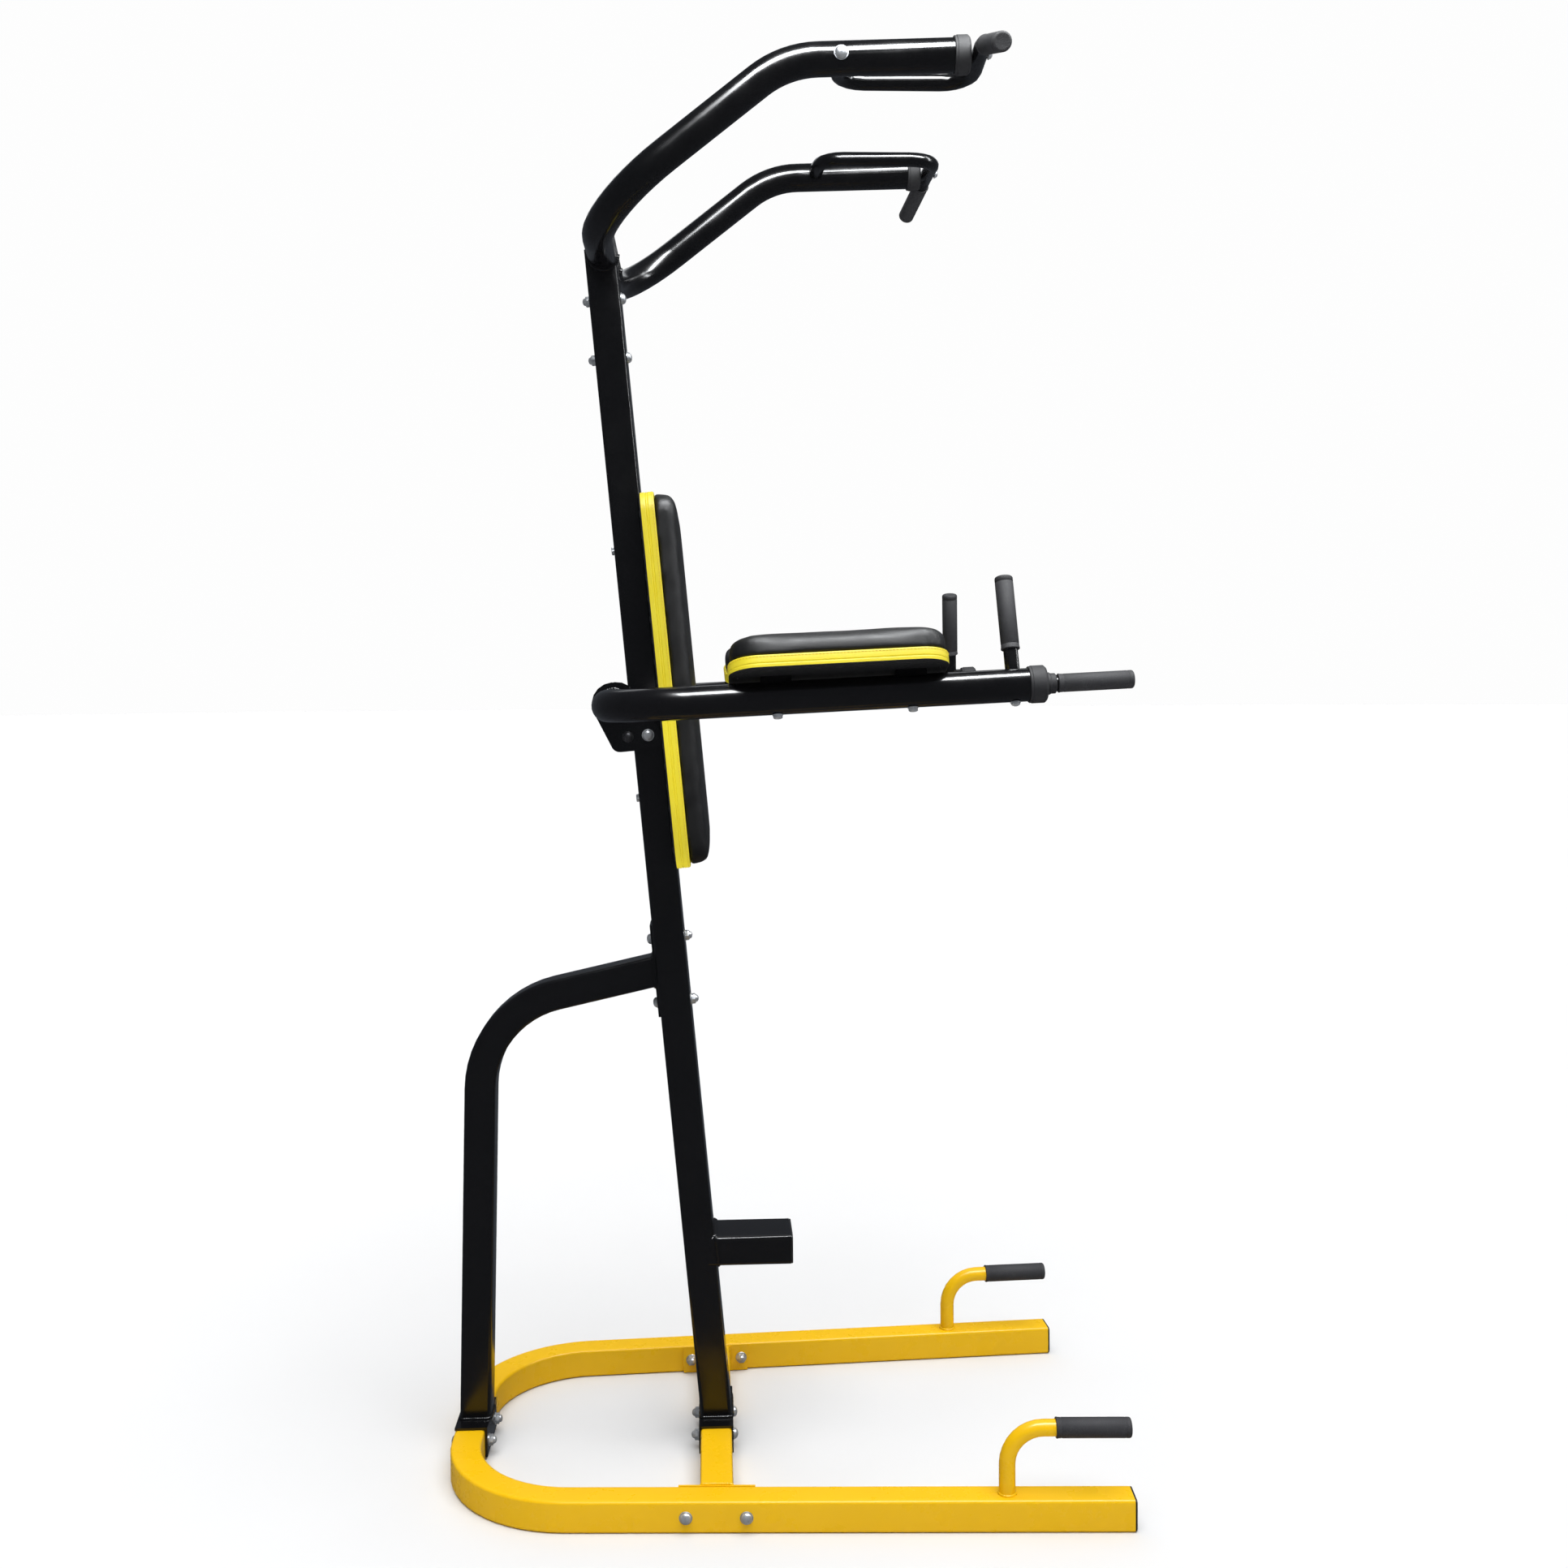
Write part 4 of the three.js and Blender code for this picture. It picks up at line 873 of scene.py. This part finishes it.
def inflate(obj, slab, cap, voxel):
    """Puffs the foam out under its vinyl by cloth simulation, held within the cap."""
    bpy.context.view_layer.objects.active = obj
    remesh = obj.modifiers.new("remesh", "REMESH")
    remesh.mode = "VOXEL"
    remesh.voxel_size = voxel
    apply_modifiers(obj)
    rest = positions(obj.data)
    base_height = (rest - np.array(slab.base)) @ np.array(slab.out)
    held = obj.vertex_groups.new(name="held")
    held.add([int(i) for i in np.nonzero(base_height < voxel * 0.9)[0]], 1.0, "REPLACE")
    cloth = obj.modifiers.new("cloth", "CLOTH")
    for key, value in CLOTH.items():
        setattr(cloth.settings, key, value)
    cloth.settings.vertex_group_mass = "held"
    cloth.settings.effector_weights.gravity = 0
    cloth.collision_settings.use_collision = False
    scene = bpy.context.scene
    for number in range(1, CLOTH_FRAMES + 1):
        scene.frame_set(number)
    moved = positions(obj.evaluated_get(bpy.context.evaluated_depsgraph_get()).data)
    obj.modifiers.remove(cloth)
    scene.frame_set(1)
    shift = smoothed(obj.data, moved - rest, SHIFT_ROUNDS)
    size = np.linalg.norm(shift, axis=1, keepdims=True)
    rest = rest + shift * np.minimum(1.0, cap / np.maximum(size, 1e-9))
    place_points(obj.data, smoothed(obj.data, rest, SURFACE_ROUNDS))
    subdivide = obj.modifiers.new("subdivide", "SUBSURF")
    subdivide.levels = 1
    subdivide.render_levels = 1
    apply_modifiers(obj)


def place_points(mesh, points):
    mesh.vertices.foreach_set("co", points.astype(np.float32).ravel())
    mesh.update()


def smoothed(mesh, points, rounds):
    """Relaxes points towards the mean of their neighbours."""
    edges = np.zeros(len(mesh.edges) * 2, int)
    mesh.edges.foreach_get("vertices", edges)
    edges = edges.reshape(-1, 2)
    count = np.zeros(len(points))
    np.add.at(count, edges[:, 0], 1)
    np.add.at(count, edges[:, 1], 1)
    for _ in range(rounds):
        total = np.zeros_like(points)
        np.add.at(total, edges[:, 0], points[edges[:, 1]])
        np.add.at(total, edges[:, 1], points[edges[:, 0]])
        points = 0.5 * points + 0.5 * total / count[:, None]
    return points


def apply_modifiers(obj):
    evaluated = obj.evaluated_get(bpy.context.evaluated_depsgraph_get())
    mesh = bpy.data.meshes.new_from_object(evaluated)
    obj.modifiers.clear()
    obj.data = mesh


def seat_cushion(obj, slab, corner):
    """Presses the cushion flat on its board and draws its side in at the seam with the band."""
    co = positions(obj.data)
    out = np.array(slab.out)
    height = (co - np.array(slab.base)) @ out
    lifted = np.maximum(height, 0.0)
    co += np.outer(lifted - height, out)
    rel = co - np.array(slab.point(0, 0, 0))
    flat = rel - np.outer(rel @ out, out)
    pull = np.clip(1 - lifted / SEAM_HEIGHT, 0, 1) ** 2 * SEAM_PULL
    length = np.linalg.norm(flat, axis=1)
    near_edge = length > corner * 0.5
    co[near_edge] -= flat[near_edge] / length[near_edge, None] * pull[near_edge, None]
    place_points(obj.data, co)


def make_cushion(node, slab, shape):
    """Foam cushion under black vinyl."""
    bm = cushion_shell(slab, shape["corner"] - SHELL_CORNER, shape["edge"], shape["crown"])
    piece = new_piece(f"{node}_vinyl", bm, BLACK_VINYL, 180)
    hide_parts(node)
    inflate(piece, slab, shape["cap"], shape["voxel"])
    seat_cushion(piece, slab, shape["corner"])
    piece.data.shade_smooth()


BAND_BULGE = 0.9 * MM
CREASE_DEPTH = 1.1 * MM
CREASE_WIDTH = 0.75 * MM
TUCK = 1.2 * MM  # the band turns black below this height above the board's back


def make_band(node, slab, corner, creases):
    """Yellow vinyl round the board's edge in soft rolls with creases between, tucked under in black."""
    loop = outline(*slab.half[:2], corner)
    t = slab.thickness
    heights = {0.0, 0.02, 0.06, 0.12, 0.22, 0.32, 0.62, 0.72, 0.84, 0.92, 0.97, 1.0}
    for crease in creases:
        heights |= {crease + step * 0.7 * MM / t for step in (-3, -2, -1, 0, 1, 2, 3)}
    levels = [(12 * MM, -0.6 * MM), (4 * MM, -0.7 * MM), (1.4 * MM, -0.5 * MM)]
    for h in sorted(heights):
        bulge = BAND_BULGE * math.sin(math.pi * min(1, max(0, h))) ** 0.5
        nick = sum(CREASE_DEPTH * math.exp(-(((h - c) * t / CREASE_WIDTH) ** 2)) for c in creases)
        levels.append((BAND_BULGE - bulge + nick, h * t))
    levels += [(1.6 * MM, t + 0.5 * MM), (3.5 * MM, t + 0.6 * MM), (12 * MM, t + 0.3 * MM)]
    bm = bmesh.new()
    rings = []
    for index, (inset, height) in enumerate(levels):
        ring = []
        for k, (p, n) in enumerate(loop):
            wave = 0.12 * MM * math.sin(k * 0.9) * math.sin(math.pi * index / len(levels))
            inward = inset + wave
            ring.append(bm.verts.new(slab.point(p[0] - n[0] * inward, p[1] - n[1] * inward, height)))
        rings.append(ring)
    skin(bm, rings)
    close_ends(bm, rings)
    tuck = slab.base.dot(slab.out) + TUCK
    for face in bm.faces:
        if face.calc_center_median().dot(slab.out) < tuck:
            face.material_index = 1
    piece = new_piece(f"{node}_band", bm, YELLOW_VINYL, 60, [node])
    piece.data.materials.append(BACKING)


def capsule(bm, start, end, radius):
    """Short rod with blunt ends."""
    length = (end - start).length
    profile = [(0, -radius * 0.5), (radius * 0.75, 0), (radius, length * 0.25), (radius, length * 0.75),
               (radius * 0.75, length), (0, length + radius * 0.5)]
    lathe(bm, profile, 6, frame_at(start, end - start))


def walk(loop, spacing):
    """Points at an even spacing along a closed outline, with the outward directions there."""
    rows = np.array([(*p, *n) for p, n in loop + loop[:1]])
    travelled = np.concatenate(([0.0], np.cumsum(np.linalg.norm(np.diff(rows[:, :2], axis=0), axis=1))))
    count = round(travelled[-1] / spacing)
    stops = travelled[-1] * np.arange(count) / count
    a, b, u, v = (np.interp(stops, travelled, column).tolist() for column in rows.T)
    return list(zip(zip(a, b), zip(u, v)))


STITCH_PITCH = 5.2 * MM
STITCH_DROP = 2.3 * MM  # from the band's upper seam
STITCH_PROUD = 0.15 * MM
THREAD_RADIUS = 0.42 * MM
BACKING_INSET = 9 * MM
STAPLE_PITCH = 34 * MM
STAPLE_HALF = 5 * MM


def make_stitches(name, slab, corner):
    """Row of stitches round the band, just under its upper seam."""
    stops = inset_outline(walk(outline(*slab.half[:2], corner), STITCH_PITCH), -STITCH_PROUD)
    points = [slab.point(*p, slab.thickness - STITCH_DROP) for p, _ in stops]
    bm = bmesh.new()
    for start, finish in zip(points, points[1:] + points[:1]):
        capsule(bm, start.lerp(finish, 0.12), start.lerp(finish, 0.78), THREAD_RADIUS)
    new_piece(name, bm, YELLOW_THREAD, 60)


def make_backing(name, slab, corner):
    """Cloth backing on the board's rear face, held by a row of staples."""
    half_a, half_b = slab.half[0] - BACKING_INSET, slab.half[1] - BACKING_INSET
    loop = outline(half_a, half_b, corner - BACKING_INSET)
    bm = bmesh.new()
    rings = []
    steps = ((0, -0.4 * MM), (0.3 * MM, -1.2 * MM), (1.5 * MM, -1.5 * MM), (8 * MM, -1.3 * MM))
    for inset, height in steps:
        rings.append([bm.verts.new(slab.point(*p, height)) for p, _ in inset_outline(loop, inset)])
    skin(bm, rings)
    close_ends(bm, rings)
    new_piece(name, bm, BACKING, 60)
    bm = bmesh.new()
    for p, n in walk(inset_outline(loop, 5 * MM), STAPLE_PITCH):
        middle = slab.point(*p, -1.75 * MM)
        reach = (slab.across * n[0] - slab.along * n[1]) * STAPLE_HALF
        capsule(bm, middle - reach, middle + reach, 0.5 * MM)
    new_piece(f"{name}_staples", bm, DARK_ZINC, 60)


# ---- build: CAD nodes ----
SLOT_OF = {row["node"]: row["material_slot"] for row in frame["record"]["subparts"]}
KEPT = [n for n in NODES if SLOT_OF[n] in ("yellow_paint", "black_paint")]
for node in KEPT:
    dress(node, SLOT_MATERIAL[SLOT_OF[node]])

HEX_BOLTS = ("arm_pad_bolt", "back_pad_bolt")
for node in sorted(NODES):
    if "_bolt" in node:
        style = "hex" if node.startswith(HEX_BOLTS) else "dome"
        # The bolt behind the upright gets the darker zinc: painted shade for the shadow it sits in there.
        bolt_material = DARK_ZINC if node == "bracket_bolt_back" else ZINC
        build_bolt(f"{node}_detail", *bolt_frame(node), style, bolt_material, [node])
    elif "grip_" in node and "tube" not in node and "bar" not in node:
        grip_piece(node)

for label, side in SIDES:
    run = Vector(PULL_END) - Vector(PULL_KNEE)
    cap_piece(f"arm_cap_{label}")
    cap_piece(f"pullup_cap_{label}", Vector((run.x, side * run.y, run.z)).normalized())
    plug_piece(f"rail_plug_{label}", (1, side * RAIL_SPLAY, 0), corner=5 * MM, wall=2 * MM)
plug_piece("foot_rest_plug", (1, 0, 0), corner=6 * MM, wall=2.5 * MM)

# ---- build: rear bolts of the curved side grips ----
for label, side in SIDES:
    share = (CURL_BOLT_X - PULL_KNEE[0]) / (PULL_END[0] - PULL_KNEE[0])
    middle = Vector(PULL_KNEE).lerp(Vector(PULL_END), share)
    outside = model_point(CURL_BOLT_X, side * (middle.y + BAR_RADIUS + 0.2 * MM), middle.z)
    build_bolt(f"curved_bar_bolt_rear_{label}", outside, Vector((0, -side, 0)),
               size=CURL_BOLT_SIZE, grip=2 * BAR_RADIUS, has_nut=False, style="dome")

# ---- build: welds ----
SKIN = 0.7 * MM  # a bead's middle lies this far off the plate it runs along
TOP_OF_SADDLE = BASE_SIZE + PLATE + GAP + SKIN
SHARE_OF_SPLAY = math.cos(math.atan(RAIL_SPLAY))

foot_point = Vector((mast_point(0, 0, PLATE).x, 0, TOP_OF_SADDLE))
weld("mast_foot_weld", "black_paint", [outline_near("lower_mast", foot_point, UP, 20 * MM)], 3.4 * MM)

post_point = Vector((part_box("rear_post")[0].x + 30 * MM, 0, TOP_OF_SADDLE))
weld("post_foot_weld", "black_paint", [outline_near("rear_post", post_point, UP, 30 * MM)], 3.2 * MM)

strut_point = mast_point(-MAST_DEPTH / 2 - PLATE - GAP - SKIN, 0, STRUT_ROOT)
strut_ring = outline_near("rear_post", strut_point, MAST_FORWARD, 60 * MM)
weld("strut_weld", "black_paint", [strut_ring], 3.0 * MM)

step_point = mast_point(MAST_DEPTH / 2 + 3.2 * MM, 0, STEP_ROOT)
step_ring = outline_near("lower_mast", step_point, MAST_FORWARD, 40 * MM)
weld("foot_rest_weld", "black_paint", [step_ring], 2.6 * MM)

handle_rings = []
for _, side in SIDES:
    spot = model_point(HANDLE_X, side * rail_y(HANDLE_X), BASE_SIZE + SKIN)
    handle_rings.append(outline_near("base_frame", spot, UP, 12 * MM))
weld("handle_welds", "yellow_paint", handle_rings, 2.4 * MM)

plate_rings = []
for _, side in SIDES:
    outward = Vector((-side * RAIL_SPLAY, 1, 0)).normalized() * side
    inner_face = rail_y(0) - BASE_SIZE / 2 / SHARE_OF_SPLAY - GAP - PLATE - SKIN
    spot = model_point(0, side * inner_face, BASE_SIZE / 2)
    ring = outline_near("crossbar", spot, outward, 12 * MM)
    plate_rings.append([Vector((p.x, p.y, max(p.z, 3 * MM))) for p in ring])  # clear of the floor
weld("crossbar_welds", "yellow_paint", plate_rings, 2.4 * MM)

pull_root = model_point(PULL_ROOT[0], 0, PULL_ROOT[1])
head_paths = []
for _, side in SIDES:
    spot = pull_root + ACROSS * side * (MAST_WIDTH / 2 + SKIN)
    ring = outline_near("pullup_bar", spot, ACROSS, 20 * MM)
    lower_half = [p for p in ring if (p - pull_root).dot(MAST_UP) < -2 * MM]
    head_paths.append(sorted(lower_half, key=lambda p: p.dot(MAST_FORWARD)))
weld("mast_head_weld", "black_paint", head_paths, 3.0 * MM, closed=False)

arm_rings = []
for _, side in SIDES:
    spot = mast_point(ARM_ROOT[0], side * (MAST_WIDTH / 2 + GAP + PLATE + SKIN), ARM_ROOT[1])
    arm_rings.append(outline_near("arm_rest_frame", spot, ACROSS, 12 * MM))
weld("bracket_welds", "black_paint", arm_rings, 2.6 * MM)

# ---- build: pads ----
# A cap is the most that the simulation may move a point.
BACK_PAD = {"outward": MAST_FORWARD, "corner": 34 * MM, "edge": 13 * MM, "cap": 3.2 * MM,
            "voxel": 5.5 * MM, "crown": 1 * MM, "creases": (0.42, 0.56)}
ARM_PAD = {"outward": UP, "corner": 47 * MM, "edge": 13 * MM, "cap": 3.8 * MM,
           "voxel": 4.5 * MM, "crown": 2 * MM, "creases": (0.36,)}
for stem, label, shape in (("back", "", BACK_PAD), ("arm", "_right", ARM_PAD), ("arm", "_left", ARM_PAD)):
    pad = f"{stem}_pad{label}"
    board_node = f"{stem}_pad_board{label}"
    cushion_node = f"{stem}_pad_cushion{label}"
    board = Slab(board_node, shape["outward"])
    make_cushion(cushion_node, Slab(cushion_node, shape["outward"]), shape)
    make_band(board_node, board, shape["corner"], shape["creases"])
    make_stitches(f"{pad}_stitches", board, shape["corner"])
    make_backing(f"{pad}_backing", board, shape["corner"])


# ---- stage, lights and camera ----
def pale_floor():
    """Wide pale floor that meets a background of the same brightness."""
    bm = bmesh.new()
    lathe(bm, [(0, 0), (1.5, 0), (6, 0), (60, 0)], 96, Matrix.Identity(4))
    mesh = bpy.data.meshes.new("stage")
    bm.to_mesh(mesh)
    bm.free()
    n = Nodes("pale_floor")
    n.colour(n.mix(n.spread(n.noise(1.5, 2.0), 0.3, 0.7), (0.70, 0.70, 0.70), (0.71, 0.71, 0.71)))
    n.set(Roughness=0.95, Specular_IOR_Level=0.0)
    mesh.materials.append(n.material)
    stage = bpy.data.objects.new("stage", mesh)
    stage.location.z = -0.4 * MM
    stage.visible_glossy = False
    bpy.context.scene.collection.objects.link(stage)


def strip(name, position, target, size, power):
    """Long lamp that only shows as a highlight in the gloss."""
    light = bpy.data.lights.new(name, "AREA")
    light.shape = "RECTANGLE"
    light.size, light.size_y = size
    light.energy = power
    light.color = (0.96, 0.98, 1.0)
    obj = bpy.data.objects.new(name, light)
    obj.location = position
    obj.rotation_mode = "QUATERNION"
    obj.rotation_quaternion = (Vector(position) - Vector(target)).to_track_quat("Z", "Y")
    obj.visible_diffuse = False
    obj.visible_camera = False
    bpy.context.scene.collection.objects.link(obj)


def make_world():
    """Pale backdrop for the camera, and a dim sky for the light that falls on the machine."""
    world = bpy.data.worlds.new("studio")
    world.use_nodes = True
    tree = world.node_tree
    dim = tree.nodes["Background"]
    dim.inputs["Color"].default_value = (0.80, 0.87, 1.0, 1.0)
    dim.inputs["Strength"].default_value = 0.10
    pale = tree.nodes.new("ShaderNodeBackground")
    pale.inputs["Color"].default_value = (0.985, 0.985, 0.985, 1.0)
    path = tree.nodes.new("ShaderNodeLightPath")
    choice = tree.nodes.new("ShaderNodeMixShader")
    tree.links.new(path.outputs["Is Camera Ray"], choice.inputs["Fac"])
    tree.links.new(dim.outputs["Background"], choice.inputs[1])
    tree.links.new(pale.outputs["Background"], choice.inputs[2])
    tree.links.new(choice.outputs["Shader"], tree.nodes["World Output"].inputs["Surface"])
    bpy.context.scene.world = world


def soft_sun(name, energy, tilt_deg, turn_deg):
    """Wide soft sun that lights surfaces and floor evenly and leaves no mirror image in the gloss."""
    sun = bpy.data.lights.new(name, "SUN")
    sun.energy = energy
    sun.angle = math.radians(60)
    lamp = bpy.data.objects.new(name, sun)
    lamp.rotation_euler = (math.radians(tilt_deg), math.radians(turn_deg), 0)
    lamp.visible_glossy = False
    bpy.context.scene.collection.objects.link(lamp)


CAMERA_PLACE = model_point(-0.0009, -2.7467, 1.3137)
CAMERA_YAW = math.radians(2.632)  # turned from +Y towards +X
CAMERA_PITCH = math.radians(-1.976)
CAMERA_ROLL = math.radians(-0.413)
CAMERA_LENS = 37.19
CAMERA_SHIFT_Y = -0.0355


def make_camera():
    data = bpy.data.cameras.new("camera")
    data.sensor_width = 36
    data.lens = CAMERA_LENS
    data.shift_y = CAMERA_SHIFT_Y
    data.clip_end = 60
    camera = bpy.data.objects.new("camera", data)
    heading = Matrix.Rotation(-CAMERA_YAW, 4, "Z") @ Matrix.Rotation(math.pi / 2 + CAMERA_PITCH, 4, "X")
    turn = heading @ Matrix.Rotation(CAMERA_ROLL, 4, "Z")
    camera.matrix_world = Matrix.Translation(CAMERA_PLACE) @ turn
    bpy.context.scene.collection.objects.link(camera)
    bpy.context.scene.camera = camera


pale_floor()
make_world()
soft_sun("camera_side_sun", energy=3.9, tilt_deg=16, turn_deg=6)
soft_sun("far_side_sun", energy=0.8, tilt_deg=-40, turn_deg=-10)
strip("overhead_strip", (0.55, -0.85, 3.05), target=(0.35, -0.2, 1.4), size=(2.0, 0.5), power=170)
strip("far_strip", (0.1, 2.4, 3.4), target=(0.1, 0.2, 1.2), size=(3.0, 0.9), power=9)
strip("front_strip", (3.2, -0.2, 3.4), target=(0.1, 0, 1.2), size=(0.35, 2.4), power=60)
make_camera()
bpy.context.scene.view_settings.view_transform = "Standard"
